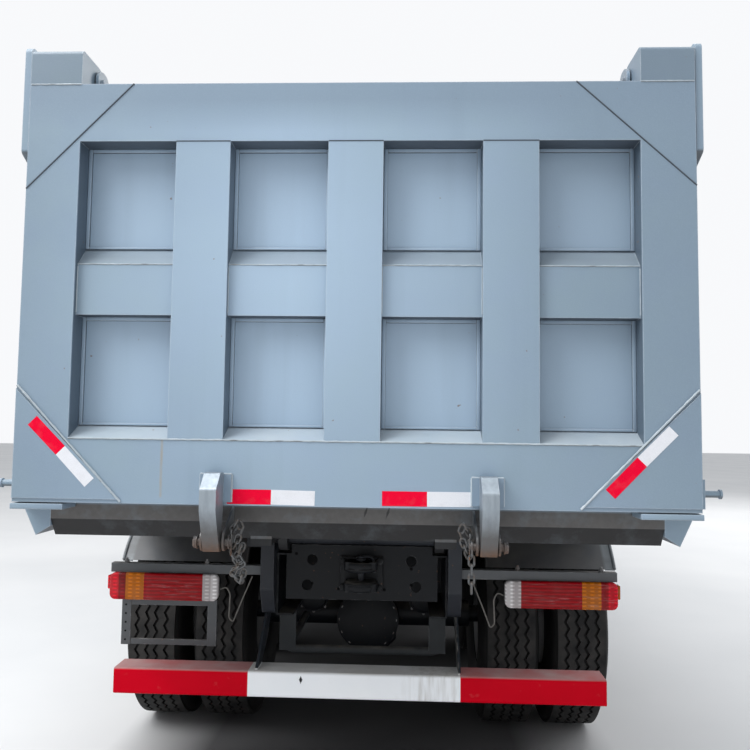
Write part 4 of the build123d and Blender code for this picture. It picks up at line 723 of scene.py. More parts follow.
# Lock pins: turned pins through the ears with a hexagon head outside, a washer and a split pin inside, and
# a link chain that keeps each from being lost. The right chain hangs in the solid model; its bunched upper
# part and the knotted left one are made here.
latch_x, pin_station, pin_height, pin_reach = 0.490, -0.018, 1.160, 0.0655
link_long, link_wide, link_wire, link_pitch = 0.033, 0.020, 0.0042, 0.0235
pin_ends, arm_beads, strands = bmesh.new(), bmesh.new(), bmesh.new()
wire = Finish("chain_steel")
tarnish = wire.noise(60, 6, rough=0.7)
tone = wire.blend(tarnish.band(0.45, 0.7), (0.130, 0.135, 0.140), (0.110, 0.085, 0.065))
chain_steel = wire.shade(Base_Color=tone, Metallic=0.8, Roughness=tarnish * 0.3 + 0.36,
                         Normal=wire.bump(tarnish, 0.0006))
give(chain_steel, "gate_chain")


def link(shape, middle, quarter, lean):
    """Chain link: a ring of round wire drawn out along z, turned by quarters round z, then leant over."""
    piece = bmesh.new()
    rim = [piece.verts.new((link_wide / 2 + link_wire * math.cos(turn), 0, link_wire * math.sin(turn)))
           for turn in (math.tau * n / 6 for n in range(6))]
    edges = [piece.edges.new((rim[n], rim[n - 1])) for n in range(6)]
    bmesh.ops.spin(piece, geom=rim + edges, cent=(0, 0, 0), axis=(0, 0, 1), angle=math.tau, steps=16,
                   use_merge=True)
    bmesh.ops.remove_doubles(piece, verts=piece.verts, dist=1e-5)
    bmesh.ops.recalc_face_normals(piece, faces=piece.faces)
    for vert in piece.verts:
        vert.co.y += (link_long - link_wide) / 2 * (1 if vert.co.y > 0 else -1)
    stand = Matrix.Rotation(quarter * math.pi / 2, 4, "Z") @ Matrix.Rotation(math.pi / 2, 4, "X")
    bmesh.ops.transform(piece, verts=piece.verts,
                        matrix=Matrix.Translation(middle) @ Matrix.Rotation(lean, 4, "Y") @ stand)
    merge(shape, piece)


for side in (-1, 1):
    middle = side * latch_x
    for hand in (-1, 1):
        end = at(middle + hand * pin_reach, pin_station, pin_height)
        out = Vector((hand, 0, 0))
        bar(pin_ends, end - out * 0.010, end - out * 0.006, 0.024, 20, round_by=0.001)
        if hand == side:
            bar(pin_ends, end - out * 0.006, end + out * 0.006, 0.021, 6, round_by=0.002)
        else:
            inner = end - out * 0.001
            bar(pin_ends, inner + Vector((0, 0, 0.030)), inner - Vector((0, 0, 0.034)), 0.0028, 8)
            bar(pin_ends, end - Vector((0, 0, 0.034)), end - Vector((0, 0.010, 0.044)), 0.0026, 8)
    left, right, foot, top = middle - 0.057, middle + 0.057, gate_low.z + 0.012, 1.402
    for start, end in (((left, foot), (left, top)), ((right, foot), (right, top)),
                       ((left, top), (right, top))):
        weld(arm_beads, at(start[0], -0.002, start[1]), at(end[0], -0.002, end[1]), 0.004)
chain_x = latch_x - pin_reach + 0.008
knots = [(chain_x + x, height) for x, height in (
    (0, 1.158), (-0.004, 1.200), (-0.026, 1.236), (-0.040, 1.205), (-0.024, 1.160), (-0.006, 1.120),
    (-0.030, 1.085), (-0.012, 1.045), (-0.042, 1.020), (-0.052, 1.060), (-0.030, 1.110), (-0.044, 1.150),
    (-0.020, 1.100), (-0.050, 1.085), (-0.014, 1.060))]
for side, run_of_knots in ((-1, knots), (1, knots[:6])):
    made = 0
    for (x0, z0), (x1, z1) in zip(run_of_knots, run_of_knots[1:]):
        links = max(1, round(math.hypot(x1 - x0, z1 - z0) / link_pitch))
        for part in ((n + 0.5) / links for n in range(links)):
            middle = at(side * (x0 + (x1 - x0) * part), pin_station + 0.012 + 0.007 * (made % 3),
                        z0 + (z1 - z0) * part)
            link(strands, middle, made % 2, math.atan2(side * (x1 - x0), z1 - z0))
            made += 1
fit("chain_strands", strands, chain_steel, "bed")
fit("pin_ends", pin_ends, worn_zinc, "bed")
fit("arm_beads", arm_beads, bead_highlight_paint, "tailgate")


# Tail lamps: one moulded cluster each side with rounded ends. The lens is red, amber, red and white, each
# colour moulded in beside the next over a ribbed inner face, on a black housing with two studs.
lamp_low, lamp_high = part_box("tail_lamps")
lamp_outer, lamp_inner, lens_depth = lamp_high.x, lamp_high.x - 0.494, 0.030
lens = Finish("lamp_lens")
red, deep_red = (0.36, 0.0006, 0.005), (0.20, 0.0004, 0.003)
amber, clear = (0.62, 0.17, 0.004), (0.66, 0.62, 0.62)
from_outer = lamp_outer - abs(lens.x)
tone = lens.blend(lens.noise(5, 2).band(0.4, 0.6), red, deep_red)
tone = lens.blend(from_outer.band(0.046, 0.040), tone, (0.78, 0.0025, 0.020))
for start, colour in ((0.075, amber), (0.158, red), (0.425, clear), (0.462, (0.92, 0.90, 0.90))):
    tone = lens.blend(from_outer.band(start - 0.0008, start + 0.0008), tone, colour)
tone = lens.blend(lens.x.band(lamp_outer + 0.0005, lamp_outer + 0.001), tone, amber)
long_red = from_outer.band(0.157, 0.159) * from_outer.band(0.425, 0.423)
ribs_across = (lens.x * 180).math("SINE").band(-0.6, 0.6) + long_red
pattern = (lens.z * 390).math("SINE").band(-0.3, 0.9) * ribs_across.math("MINIMUM", 1.0)
shaded = lens.node("Mix", {"data_type": "RGBA", "blend_type": "MULTIPLY"},
                   {0: 1.0, 6: tone, 7: (0.30, 0.27, 0.27)}, output=2)
dusty = lens.noise(12, 5).band(0.45, 0.8) * 0.10
lens.shade(Base_Color=lens.blend(dusty, lens.blend((1 - pattern) * 0.55, tone, shaded), (0.30, 0.27, 0.24)),
           Roughness=dusty * 1.2 + 0.2, Specular_IOR_Level=0.16, Coat_Roughness=0.08,
           Coat_Weight=lens.noise(1, 5, (14, 14, 190), 0.6).band(0.56, 0.64) * 0.9,
           Normal=lens.bump(pattern, 0.0004, lens.soft_edge(0.003)))
housing_black = painted("housing_black", (0.014, 0.014, 0.015), (0.024, 0.024, 0.026), 0.5, dusty=0.5)
give(housing_black, "tail_lamps")
for side, hand in hands:
    for name, near, far, inset, finish in (
            ("lamp_lens", lamp_low.y, lamp_low.y + lens_depth, 0.0, lens.material),
            ("lamp_housing", lamp_low.y + lens_depth, lamp_high.y, 0.003, housing_black)):
        shell = bmesh.new()
        box(shell, (side * (lamp_inner + inset), near, lamp_low.z + inset),
            (side * (lamp_outer - inset), far, lamp_high.z - inset))
        ends = [e for e in shell.edges if abs(e.verts[0].co.y - e.verts[1].co.y) > 0.01]
        soften(shell, ends, 0.026, 6)
        soften(shell, [e for e in shell.edges if all(abs(v.co.y - near) < 0.001 for v in e.verts)], 0.010, 3)
        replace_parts(fit(f"{name}_{hand}", shell, finish, "chassis"), "tail_lamps")
    marker = bmesh.new()
    box(marker, (side * lamp_outer, lamp_low.y + 0.012, lamp_low.z + 0.045),
        (side * (lamp_outer + 0.012), lamp_low.y + 0.050, lamp_high.z - 0.014), 0.004)
    fit(f"side_marker_{hand}", marker, lens.material, "chassis")


# Underrun bar: folded steel box painted in red, white and red thirds, scuffed and dusty on top. Its two
# hangers are near-black and run forward to the tip brackets.
bands = Finish("underrun_bands")
bar_foot, white_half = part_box("underrun_bar")[0].z, 0.449
fade = bands.noise(3, 4).band(0.3, 0.7)
red_tone = bands.blend(fade, (0.54, 0.0003, 0.010), (0.64, 0.0005, 0.014))
white_tone = bands.blend(fade, (0.90, 0.93, 0.96), (0.96, 0.975, 0.99))
outside = abs(bands.x + 0.015).band(white_half - 0.001, white_half + 0.001)
dirt = bands.level.band(0.4, 0.9) * (bands.noise(8, 6).band(0.25, 0.7) * 0.5 + 0.4)
dirt = dirt + bands.noise(20, 6).band(0.64, 0.8) * 0.12
tone = bands.blend(dirt, bands.blend(outside, white_tone, red_tone),
                   bands.blend(outside, (0.66, 0.64, 0.61), (0.56, 0.42, 0.41)))
hangers = bands.z.band(bar_foot + 0.112, bar_foot + 0.114)
tone = bands.blend(hangers, tone, (0.028, 0.033, 0.040))
fleck = abs(bands.x + 0.238) + abs(bands.z - bar_foot - 0.078) * 0.45 + bands.noise(110, 3) * 0.004
tone = bands.blend(fleck.band(0.0105, 0.0075), tone, (0.022, 0.020, 0.022))
smear = bands.x.band(0.16, 0.26) * bands.x.band(white_half - 0.015, white_half - 0.019)
tone = bands.blend(smear * bands.noise(55, 4, (1, 1, 0.12)).band(0.42, 0.7) * 0.45, tone, (0.42, 0.40, 0.36))
chips = bands.edge(0.006) * bands.noise(40, 4).band(0.55, 0.65)
dents = bands.bump(bands.noise(2.2, 3), 0.006, bands.soft_edge(0.004))
bands.shade(Base_Color=bands.blend(chips, tone, (0.10, 0.06, 0.05)), Roughness=dirt * 0.4 + 0.3,
            Specular_IOR_Level=0.04, Normal=dents)
give(bands.material, "underrun_bar")


# Rear mudguards: pressed sheet in dark blue-grey paint with a rolled outer lip, pale where grit has worn it,
# bolted to two arms on each side and caked with road dirt underneath. Painted light and shade make the paint
# paler outboard and darker inboard.
guard = Finish("guard_paint")
patch = guard.noise(5, 6, rough=0.65).band(0.3, 0.7)
# Painted light and shade: lighter towards the outer side, darker inboard.
tone = guard.blend((abs(guard.x) + patch * 0.12).band(0.75, 1.25), (0.022, 0.025, 0.031),
                   (0.105, 0.115, 0.128))
worn = abs(guard.x).band(1.185, 1.200) * guard.noise(9, 5, (0.3, 1, 1)).band(0.25, 0.55) * 0.75
tone = guard.blend(worn, tone, (0.30, 0.34, 0.37))
caked = guard.level.band(-0.15, -0.7) * 0.8
dusted = guard.level.band(0.2, 0.9) * guard.noise(7, 6).band(0.2, 0.7) * 0.5
tone = guard.blend(dusted, guard.blend(caked, tone, (0.060, 0.052, 0.044)), (0.25, 0.225, 0.195))
guard_paint = guard.shade(Base_Color=tone, Roughness=caked * 0.3 + dusted * 0.3 + 0.4,
                          Normal=guard.bump(guard.noise(2.5, 3), 0.006, guard.soft_edge(0.002)))
give(guard_paint, "mudguards")
guard_radius, guard_foot, flat_start = 0.596, 0.893, 0.295
low, over = math.acos((guard_foot - tyre_radius) / guard_radius), math.asin(flat_start / guard_radius)
arc = [(guard_radius * math.sin(turn), tyre_radius + guard_radius * math.cos(turn))
       for turn in (-low + (low + over) * n / 22 for n in range(23))]
hoop = [(rear_axles[0] + reach, height) for reach, height in arc]
hoop += [(rear_axles[1] - reach, height) for reach, height in arc[::-1]]
for side, hand in hands:
    lips = bmesh.new()
    for x, thick in ((side * 1.241, 0.008), (side * 0.604, 0.006)):
        run(lips, [at(x, station, height) for station, height in hoop], thick, 8)
    for pair in zip(hoop, hoop[1:]):
        corners = [[lips.verts.new(at(x, station, height - drop)) for station, height in pair]
                   for x in (side * 1.194, side * 1.243) for drop in (0.003, 0.008)]
        for a, b in ((0, 1), (1, 3), (3, 2), (2, 0)):
            lips.faces.new((corners[a][0], corners[a][1], corners[b][1], corners[b][0]))
    bmesh.ops.remove_doubles(lips, verts=lips.verts, dist=0.0001)
    bmesh.ops.recalc_face_normals(lips, faces=lips.faces)
    for station, ahead in ((1.220, 1), (3.410, -1)):
        for height in (0.972, 1.008):
            bolt(lips, at(side * 0.615, station, height), (0, ahead, 0), 0.016)
    fit(f"guard_lips_{hand}", lips, guard_paint, "chassis")


# Lamp bars and number plate frame: square tube and flat bar, painted dark and grey with road dust. The
# frame's left bar is drilled with five small holes, and each lamp hangs on two studs with nuts above.
dusty_grey = painted("dusty_grey", (0.062, 0.068, 0.074), (0.095, 0.100, 0.106), 0.6, dust=(0.24, 0.22, 0.20),
                     dusty=0.8)
give(dusty_grey, "lamp_brackets")
# Painted shade: a near-black finish for discs and lines that stand for the dark inside of holes and the gaps
# between spring leaves.
dark = Finish("hole_and_gap_shade")
tone = dark.blend(dark.noise(50, 3), (0.0015, 0.0015, 0.0018), (0.004, 0.004, 0.0045))
hole_and_gap_shade = dark.shade(Base_Color=tone, Roughness=0.9, Specular_IOR_Level=0.1)
drilled, studs, strip = bmesh.new(), bmesh.new(), bmesh.new()
plate_left, plate_foot, bracket_rear = -1.060, 0.594, 0.708
stud_steps = (0.003, 0.014, 16, 0), (0.013, 0.0105, 6, 0.001), (0.022, 0.006, 10, 0)
for left, right in ((-1.079, -1.036), (-0.688, -0.646)):
    box(strip, at(left, bracket_rear, plate_foot - 0.002),
        at(right, bracket_rear + 0.0025, plate_foot + 0.200), 0.001, 1)
fit("plate_strips", strip, dusty_grey, "chassis")
holes = [(at(plate_left, bracket_rear, plate_foot + 0.020 + n * 0.0385), 0.0045, 12) for n in range(5)]
holes += [(Vector((x, plate_face, height)), 0.007, 14) for x, height in (
    (0.226, 0.868), (0.226, 0.940), (0.105, 0.845), (-0.226, 0.868), (-0.105, 0.845), (-0.300, 1.0))]
for hole, radius, sides in holes:
    bar(drilled, hole - Vector((0, 0.0006, 0)), hole + Vector((0, 0.004, 0)), radius, sides)
for side in (-1, 1):
    for x in (0.70, 1.07):
        seat = at(side * x, bracket_rear + 0.020, lamp_high.z + 0.040)
        for tall, radius, sides, rounding in stud_steps:
            bar(studs, seat, seat + Vector((0, 0, tall)), radius, sides, round_by=rounding)
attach(sheet_of("drilled_hole_shade", drilled, hole_and_gap_shade), "chassis")
fit("lamp_studs", studs, zinc_bolt, "chassis")


# Towing jaw: a rounded casting on a flange with four bolts. Its lips flare round the mouth, and a turned
# pin with a lever drops through them.
jaw_back, jaw_low, jaw_high, jaw_mid = 0.770, 0.853, 0.983, 0.918
jaw = bmesh.new()
box(jaw, at(-0.098, jaw_back - 0.018, jaw_low - 0.012), at(0.098, jaw_back - 0.001, jaw_high + 0.012), 0.006)
for low, high, flare in ((jaw_mid + 0.030, jaw_high, -1), (jaw_low, jaw_mid - 0.030, 1)):
    bar(jaw, at(0, jaw_back - 0.060, low), at(0, jaw_back - 0.060, high), 0.072, 32, round_by=0.012)
    mouth = high if flare > 0 else low
    bar(jaw, at(0, jaw_back - 0.058, mouth - flare * 0.006), at(0, jaw_back - 0.058, mouth + flare * 0.010),
        0.078, 32, 0.070, round_by=0.004)
    box(jaw, at(-0.060, jaw_back - 0.060, low), at(0.060, jaw_back - 0.010, high), 0.008)
for side in (-1, 1):
    for height in (jaw_low + 0.006, jaw_high - 0.006):
        bolt(jaw, at(side * 0.084, jaw_back - 0.018, height), (0, -1, 0), 0.022)
bmesh.ops.recalc_face_normals(jaw, faces=jaw.faces)
fit("jaw_casting", jaw, chassis_black, "chassis")
pin, pin_line = bmesh.new(), jaw_back - 0.063
bar(pin, at(0, pin_line, jaw_low - 0.012), at(0, pin_line, jaw_high + 0.022), 0.0145, 20, round_by=0.002)
bar(pin, at(0, pin_line, jaw_high + 0.004), at(0, pin_line, jaw_high + 0.012), 0.024, 20, round_by=0.002)
lever = ((0, 0.018), (0.055, 0.020), (0.060, -0.050))
run(pin, bent([at(x, pin_line, jaw_high + rise) for x, rise in lever], 0.025), 0.006, 8)
fit("jaw_pin", pin, bracket_grey, "chassis")


# Lamp cables: two-core cable in a grey plastic sheath. One leaves each lamp's inner end, hangs down in a
# narrow V and goes back up behind the lamp bar.
sheath, cable_thick = Finish("cable_grey"), 0.0064
tone = sheath.blend(sheath.noise(70, 4), (0.10, 0.095, 0.088), (0.24, 0.225, 0.205))
cable_grey = sheath.shade(Base_Color=tone, Roughness=0.62, Normal=sheath.bump(sheath.noise(300, 2), 0.0002))
for side, hand in hands:
    start = at(side * (lamp_inner - 0.0005), 0.735, 0.838)
    line = bent([start + Vector((-side * x, y, z)) for x, y, z in
                 ((0, 0, 0), (0.028, 0.004, 0.012), (0.045, 0.010, -0.020), (0.040, 0.016, -0.130),
                  (0.058, 0.022, -0.150), (0.092, 0.030, -0.060), (0.140, 0.034, 0.055))], 0.014, 6)
    cable = bmesh.new()
    run(cable, line, cable_thick / 2, 6)
    piece = fit(f"lamp_cable_{hand}", cable, cable_grey, "chassis")
    length = sum((b - a).length for a, b in zip(line, line[1:]))


# Cab plastics: bumper, steps, grille frame, mirror housings and dashboard, moulded in black polypropylene
# with a fine grain, chalky where the sun has bleached the tops, and screwed on from behind.
black_plastic = painted("black_plastic", (0.013, 0.0135, 0.015), (0.022, 0.023, 0.025), 0.55, dusty=0.35,
                        metal=(0.06, 0.06, 0.06), gleam=0.35)
give(black_plastic, "front_bumper", "cab_steps", "grille", "mirrors", "dashboard")


def prism(shape, rows, x0, x1):
    """Plate or bar with an outline in (station, height), between two x."""
    ends = [[shape.verts.new(at(x, station, height)) for station, height in rows] for x in (x0, x1)]
    faces = [shape.faces.new(ends[0]), shape.faces.new(list(reversed(ends[1])))]
    for n in range(len(rows)):
        faces.append(shape.faces.new((ends[0][n - 1], ends[1][n - 1], ends[1][n], ends[0][n])))
    bmesh.ops.recalc_face_normals(shape, faces=faces)


def turned(shape, place, along, rows, sides=32, ring=False):
    """Solid turned about a line from rows of (distance along, radius), or a ring from a closed profile."""
    along = Vector(along).normalized()
    side = along.orthogonal().normalized()
    up = along.cross(side)
    rings = []
    for distance, radius in rows:
        middle = Vector(place) + along * distance
        turns = [math.tau * n / sides for n in range(sides)] if radius else [0]
        rings.append([shape.verts.new(middle + (side * math.cos(turn) + up * math.sin(turn)) * radius)
                      for turn in turns])
    faces = []
    for low, high in zip(rings, rings[1:] + (rings[:1] if ring else [])):
        for n in range(sides):
            corners = [row[k % len(row)] for row, k in ((low, n - 1), (low, n), (high, n), (high, n - 1))]
            faces.append(shape.faces.new(list(dict.fromkeys(corners))))
    for end in (rings[0], rings[-1]):
        if len(end) > 1 and not ring:
            faces.append(shape.faces.new(end))
    bmesh.ops.recalc_face_normals(shape, faces=faces)


def strap(shape, low, high, corner, start, width, wall=0.004):
    """Flat band bent round a box or drum that lies along the lorry, from its lower and upper (x, height)."""
    rings = []
    for x, height, first in ((high[0] - corner, high[1] - corner, 0), (low[0] + corner, high[1] - corner, 90),
                             (low[0] + corner, low[1] + corner, 180),
                             (high[0] - corner, low[1] + corner, 270)):
        for step in range(9):
            turn = math.radians(first + 90 * step / 8)
            rings.append([shape.verts.new(at(x + (corner + lift) * math.cos(turn), start + along,
                                             height + (corner + lift) * math.sin(turn)))
                          for lift, along in ((-0.002, 0), (wall, 0), (wall, width), (-0.002, width))])
    faces = [shape.faces.new((rings[n - 1][k - 1], rings[n][k - 1], rings[n][k], rings[n - 1][k]))
             for n in range(len(rings)) for k in range(4)]
    bmesh.ops.recalc_face_normals(shape, faces=faces)


# Step treads: ribbed aluminium plates screwed on the steps' upper faces, bright on the ribs' tops and
# filled with dried mud between them.
tread = Finish("tread_metal")
scratch = tread.noise(80, 5, (0.2, 1, 1))
mud = tread.noise(9, 6, rough=0.65).band(0.42, 0.66)
bright = tread.blend(scratch, (0.38, 0.385, 0.39), (0.6, 0.605, 0.61))
tread_metal = tread.shade(Base_Color=tread.blend(mud * 0.8, bright, (0.15, 0.125, 0.10)),
                          Metallic=(1 - mud) * 0.7, Roughness=mud * 0.45 + scratch * 0.15 + 0.3,
                          Normal=tread.bump(scratch, 0.0004, tread.soft_edge(0.002)))
for side, hand in hands:
    treads = bmesh.new()
    for start, end, height in ((7.44, 7.81, 0.500), (7.36, 7.81, 0.750)):
        box(treads, at(side * 1.055, start, height - 0.001), at(side * 1.222, end, height + 0.003), 0.001, 1)
        for x in (side * (1.067 + 0.143 * n / 6) for n in range(7)):
            box(treads, at(x - 0.004, start + 0.010, height + 0.002),
                at(x + 0.004, end - 0.010, height + 0.008), 0.0015, 1)
    fit(f"step_treads_{hand}", treads, tread_metal, "chassis")


# Cab: pressed and spot-welded steel shell with two doors, in the body's blue-grey but glossier. The roof
# hatch, rear wall ribs and lamp seats are pressed in; handles, strips and seals are fitted over the paint.
cab_blue = body_paint("cab_blue", (0.235, 0.302, 0.376), (0.270, 0.342, 0.420), (0.250, 0.326, 0.370),
                      0.26, 0.2)
give(cab_blue, "cab_shell", "door_left", "door_right")
cab_face, cab_back, waist, roof, rake, cab_half = 8.045, 6.155, 1.900, 2.990, 0.245, 1.240


def on_screen(x, part, lift):
    """Point on the raked front, that part of the way from the waist to the roof, lifted off it."""
    rise = roof - waist
    slope = math.hypot(rise, rake)
    return at(x, cab_face - rake * part + lift * rise / slope, waist + rise * part + lift * rake / slope)


def on_side(shape, side, proud, low, high, round_by=0.004):
    """Block that stands proud of the cab's side between two (station, height) corners."""
    box(shape, at(side * (cab_half - 0.001), *low), at(side * (cab_half + proud), *high), round_by)


pressings = bmesh.new()
for x in (-0.92, -0.46, 0, 0.46, 0.92):
    box(pressings, at(x - 0.045, cab_back - 0.006, 1.27), at(x + 0.045, cab_back + 0.002, 1.96), 0.004)
for height in (2.80, 2.86):
    box(pressings, at(-0.95, cab_back - 0.005, height - 0.012),
        at(0.95, cab_back + 0.002, height + 0.012), 0.004)
box(pressings, at(-0.36, 6.72, roof - 0.002), at(0.36, 7.28, roof + 0.022), 0.010, 3)
for side in (-1, 1):
    box(pressings, at(side * 0.70 - 0.03, 6.40, roof - 0.002),
        at(side * 0.70 + 0.03, 7.50, roof + 0.008), 0.004)
fit("cab_pressings", pressings, cab_blue, "cab")
for side, hand in hands:
    swage = bmesh.new()
    for foot, top in ((1.30, 1.42), (1.78, 1.83)):
        on_side(swage, side, 0.004, (6.84, foot), (7.80, top))
    fit(f"door_swage_{hand}", swage, cab_blue, f"door_{hand}")


# Cab trim: black mouldings. A panel under the screen with the two wipers, a smoked visor over it on four
# brackets, rub strips, pull handles on the doors, grab bars behind them and a seal round each pane.
def screen_rows(spots):
    """Outline in (station, height) from spots given by their part and lift on the raked front."""
    return [(place.y - gate_rear, place.z) for place in (on_screen(0, part, lift) for part, lift in spots)]


seal = Finish("seal_rubber")
chalk = seal.noise(14, 5).band(0.4, 0.8)
seal_rubber = seal.shade(Base_Color=seal.blend(chalk, (0.010, 0.010, 0.011), (0.045, 0.044, 0.042)),
                         Roughness=chalk * 0.2 + 0.55, Specular_IOR_Level=0.3,
                         Normal=seal.bump(seal.noise(200, 2), 0.0003))
seals, trim, visor, wipers = (bmesh.new() for _ in range(4))
run(seals, bent([on_screen(x, part, 0) for x, part in (
    (0, 0.07), (1.08, 0.07), (1.08, 0.86), (-1.08, 0.86), (-1.08, 0.07), (0, 0.07))], 0.025), 0.015, 8)
run(seals, bent([at(x, cab_back + 0.002, z) for x, z in (
    (0, 2.05), (0.52, 2.05), (0.52, 2.70), (-0.52, 2.70), (-0.52, 2.05), (0, 2.05))], 0.04), 0.013, 8)
fit("cab_seals", seals, seal_rubber, "cab")
box(trim, at(-0.99, cab_face - 0.002, 1.62), at(0.99, cab_face + 0.005, 1.85), 0.004)
for side in (-1, 1):
    box(trim, at(side * 0.62 - 0.07, cab_face + 0.003, 1.655),
        at(side * 0.62 + 0.07, cab_face + 0.012, 1.680), 0.004)
    grip = ((0, 1.42), (0.052, 1.42), (0.052, 2.20), (0, 2.20))
    run(trim, bent([at(side * (cab_half + out), 6.70, height) for out, height in grip], 0.035), 0.013, 12)
    for height in (1.42, 2.20):
        turned(trim, at(side * (cab_half - 0.002), 6.70, height), (side, 0, 0),
               ((0, 0.026), (0.008, 0.026), (0.012, 0.018)), 20)
    on_side(trim, side, 0.010, (6.19, 1.47), (6.78, 1.51))
    on_side(trim, side, 0.010, (7.260, 1.02), (7.880, 1.05))
shade = [(0.945, 0.012), (0.910, 0.075), (0.845, 0.118), (0.775, 0.140)]
prism(visor, screen_rows(shade + [(part - 0.004, lift - 0.006) for part, lift in shade[::-1]]), -1.06, 1.06)
for x in (-0.98, -0.34, 0.34, 0.98):
    prism(trim, screen_rows(((0.965, -0.003), (0.925, 0.050), (0.870, 0.090), (0.900, -0.003))),
          x - 0.006, x + 0.006)
fit("cab_trim", trim, black_plastic, "cab")
smoked = Finish("smoked_acrylic")
hazed = smoked.noise(6, 5).band(0.4, 0.8)
smoked.shade(Base_Color=smoked.blend(hazed, (0.012, 0.012, 0.014), (0.035, 0.034, 0.033)),
             Roughness=hazed * 0.15 + 0.10, Normal=smoked.bump(smoked.noise(3, 2), 0.001))
fit("sun_visor", visor, smoked.material, "cab")
for foot in (-0.52, 0.30):
    turned(wipers, on_screen(foot, 0.030, -0.004), on_screen(0, 0, 1) - on_screen(0, 0, 0),
           ((0, 0.022), (0.012, 0.022), (0.034, 0.014), (0.036, 0)), 20)
    arm = ((foot, 0.030, 0.026), (foot - 0.10, 0.060, 0.030), (foot - 0.40, 0.145, 0.010))
    blade = [(foot - 0.40 + x, 0.145, -0.003) for x in (-0.34, -0.17, 0, 0.17, 0.34)]
    yoke = [(foot - 0.40 + x, 0.145, 0.006 - abs(x) * 0.01) for x in (-0.20, 0, 0.20)]
    for spots, radius in ((arm, 0.0065), (blade, 0.0075), (yoke, 0.005)):
        run(wipers, [on_screen(*spot) for spot in spots], radius, 6)
fit("wipers", wipers, black_plastic, "cab")
for side, hand in hands:
    fittings, edging = bmesh.new(), bmesh.new()
    out = side * (cab_half + 0.001)
    pane_rows = ((6.89, 2.29), (6.89, 1.91), (7.79, 1.91), (7.78, 1.96), (7.62, 2.67), (6.89, 2.67),
                 (6.89, 2.29))
    run(edging, bent([at(out, station, height) for station, height in pane_rows], 0.045), 0.010, 8)
    on_side(fittings, side, 0.010, (6.815, 1.47), (7.825, 1.51))
    on_side(fittings, side, 0.006, (6.845, 1.655), (7.015, 1.745), 0.005)
    pull = ((0, 6.86), (0.034, 6.865), (0.034, 7.0), (0, 7.005))
    run(fittings, bent([at(side * (cab_half + lift), station, 1.72) for lift, station in pull], 0.018),
        0.010, 10)
    turned(fittings, at(side * cab_half, 6.93, 1.682), (side, 0, 0),
           ((0, 0.013), (0.008, 0.013), (0.009, 0.010), (0.006, 0)), 20)
    fit(f"window_seal_{hand}", edging, seal_rubber, f"door_{hand}")
    fit(f"door_fittings_{hand}", fittings, black_plastic, f"door_{hand}")


# Cab lamps: amber markers on the roof's front edge and the cab's sides, and head lamps of two polished
# dishes with bulbs and an amber indicator behind a clear moulded cover, in the bumper's openings.
fluted = Finish("amber_lens")
flute = (fluted.x * 420).math("SINE").band(-0.4, 0.9)
amber_lens = fluted.shade(Base_Color=fluted.blend(flute, (0.60, 0.16, 0.01), (0.85, 0.30, 0.03)),
                          Roughness=flute * 0.08 + 0.16,
                          Normal=fluted.bump(flute, 0.0006, fluted.soft_edge(0.004)))
markers = bmesh.new()
for x in (-0.94, -0.30, 0, 0.30, 0.94):
    box(markers, at(x - 0.055, 7.615, roof - 0.001), at(x + 0.055, 7.665, roof + 0.024), 0.008, 3)
for side in (-1, 1):
    box(markers, at(side * (cab_half - 0.002), 7.895, 1.60), at(side * (cab_half + 0.016), 7.955, 1.64),
        0.006, 3)
fit("marker_lamps", markers, amber_lens, "cab")
dish = Finish("dish_chrome")
dish_chrome = dish.shade(Base_Color=dish.blend(dish.noise(30, 4), (0.74, 0.75, 0.77), (0.88, 0.89, 0.9)),
                         Metallic=1.0, Roughness=dish.noise(12, 3).band(0.4, 0.9) * 0.1 + 0.06)
clear = Finish("clear_cover")
ridge = (clear.x * 230).math("SINE").band(-0.2, 1.0)
clear_cover = clear.shade(Base_Color=clear.blend(ridge, (0.93, 0.95, 0.96), (0.99, 0.99, 0.99)),
                          Roughness=ridge * 0.05 + 0.02, Transmission_Weight=1.0, IOR=1.45,
                          Normal=clear.bump(ridge, 0.0005))
lamp_foot, lamp_top, wall = 0.492, 0.638, 0.006
reflector = ((0, 0.050), (0.030, 0.055), (0.031, 0.052), (0.022, 0.040), (0.014, 0.024), (0.010, 0.010),
             (0.028, 0.008), (0.031, 0.004), (0.032, 0))
for side, hand in hands:
    tub, dishes, cover, blinker = (bmesh.new() for _ in range(4))
    inner, outer = side * 0.762, side * 1.058
    box(tub, at(inner, 8.065, lamp_foot), at(outer, 8.071, lamp_top), 0.002)
    for low, high in (((inner, lamp_foot), (inner + side * wall, lamp_top)),
                      ((outer - side * wall, lamp_foot), (outer, lamp_top)),
                      ((inner, lamp_foot), (outer, lamp_foot + wall)),
                      ((inner, lamp_top - wall), (outer, lamp_top))):
        box(tub, at(low[0], 8.068, low[1]), at(high[0], 8.107, high[1]), 0.001, 1)
    for x in (0.826, 0.938):
        turned(dishes, at(side * x, 8.069, 0.565), (0, 1, 0), reflector, 36)
    box(blinker, at(side * 1.003, 8.070, 0.500), at(side * 1.050, 8.096, 0.630), 0.006, 3)
    box(cover, at(inner + side * 0.001, 8.1075, 0.493), at(outer - side * 0.001, 8.1115, 0.637), 0.0015)
    for name, shape, finish, slot in (("tub", tub, black_plastic, "black_plastic"),
                                      ("dishes", dishes, dish_chrome, "head_lens"),
                                      ("cover", cover, clear_cover, "head_lens"),
                                      ("blinker", blinker, amber_lens, "lamp_lens")):
        part = fit(f"head_{name}_{hand}", shape, finish, "chassis")
        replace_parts(part, "headlamps")


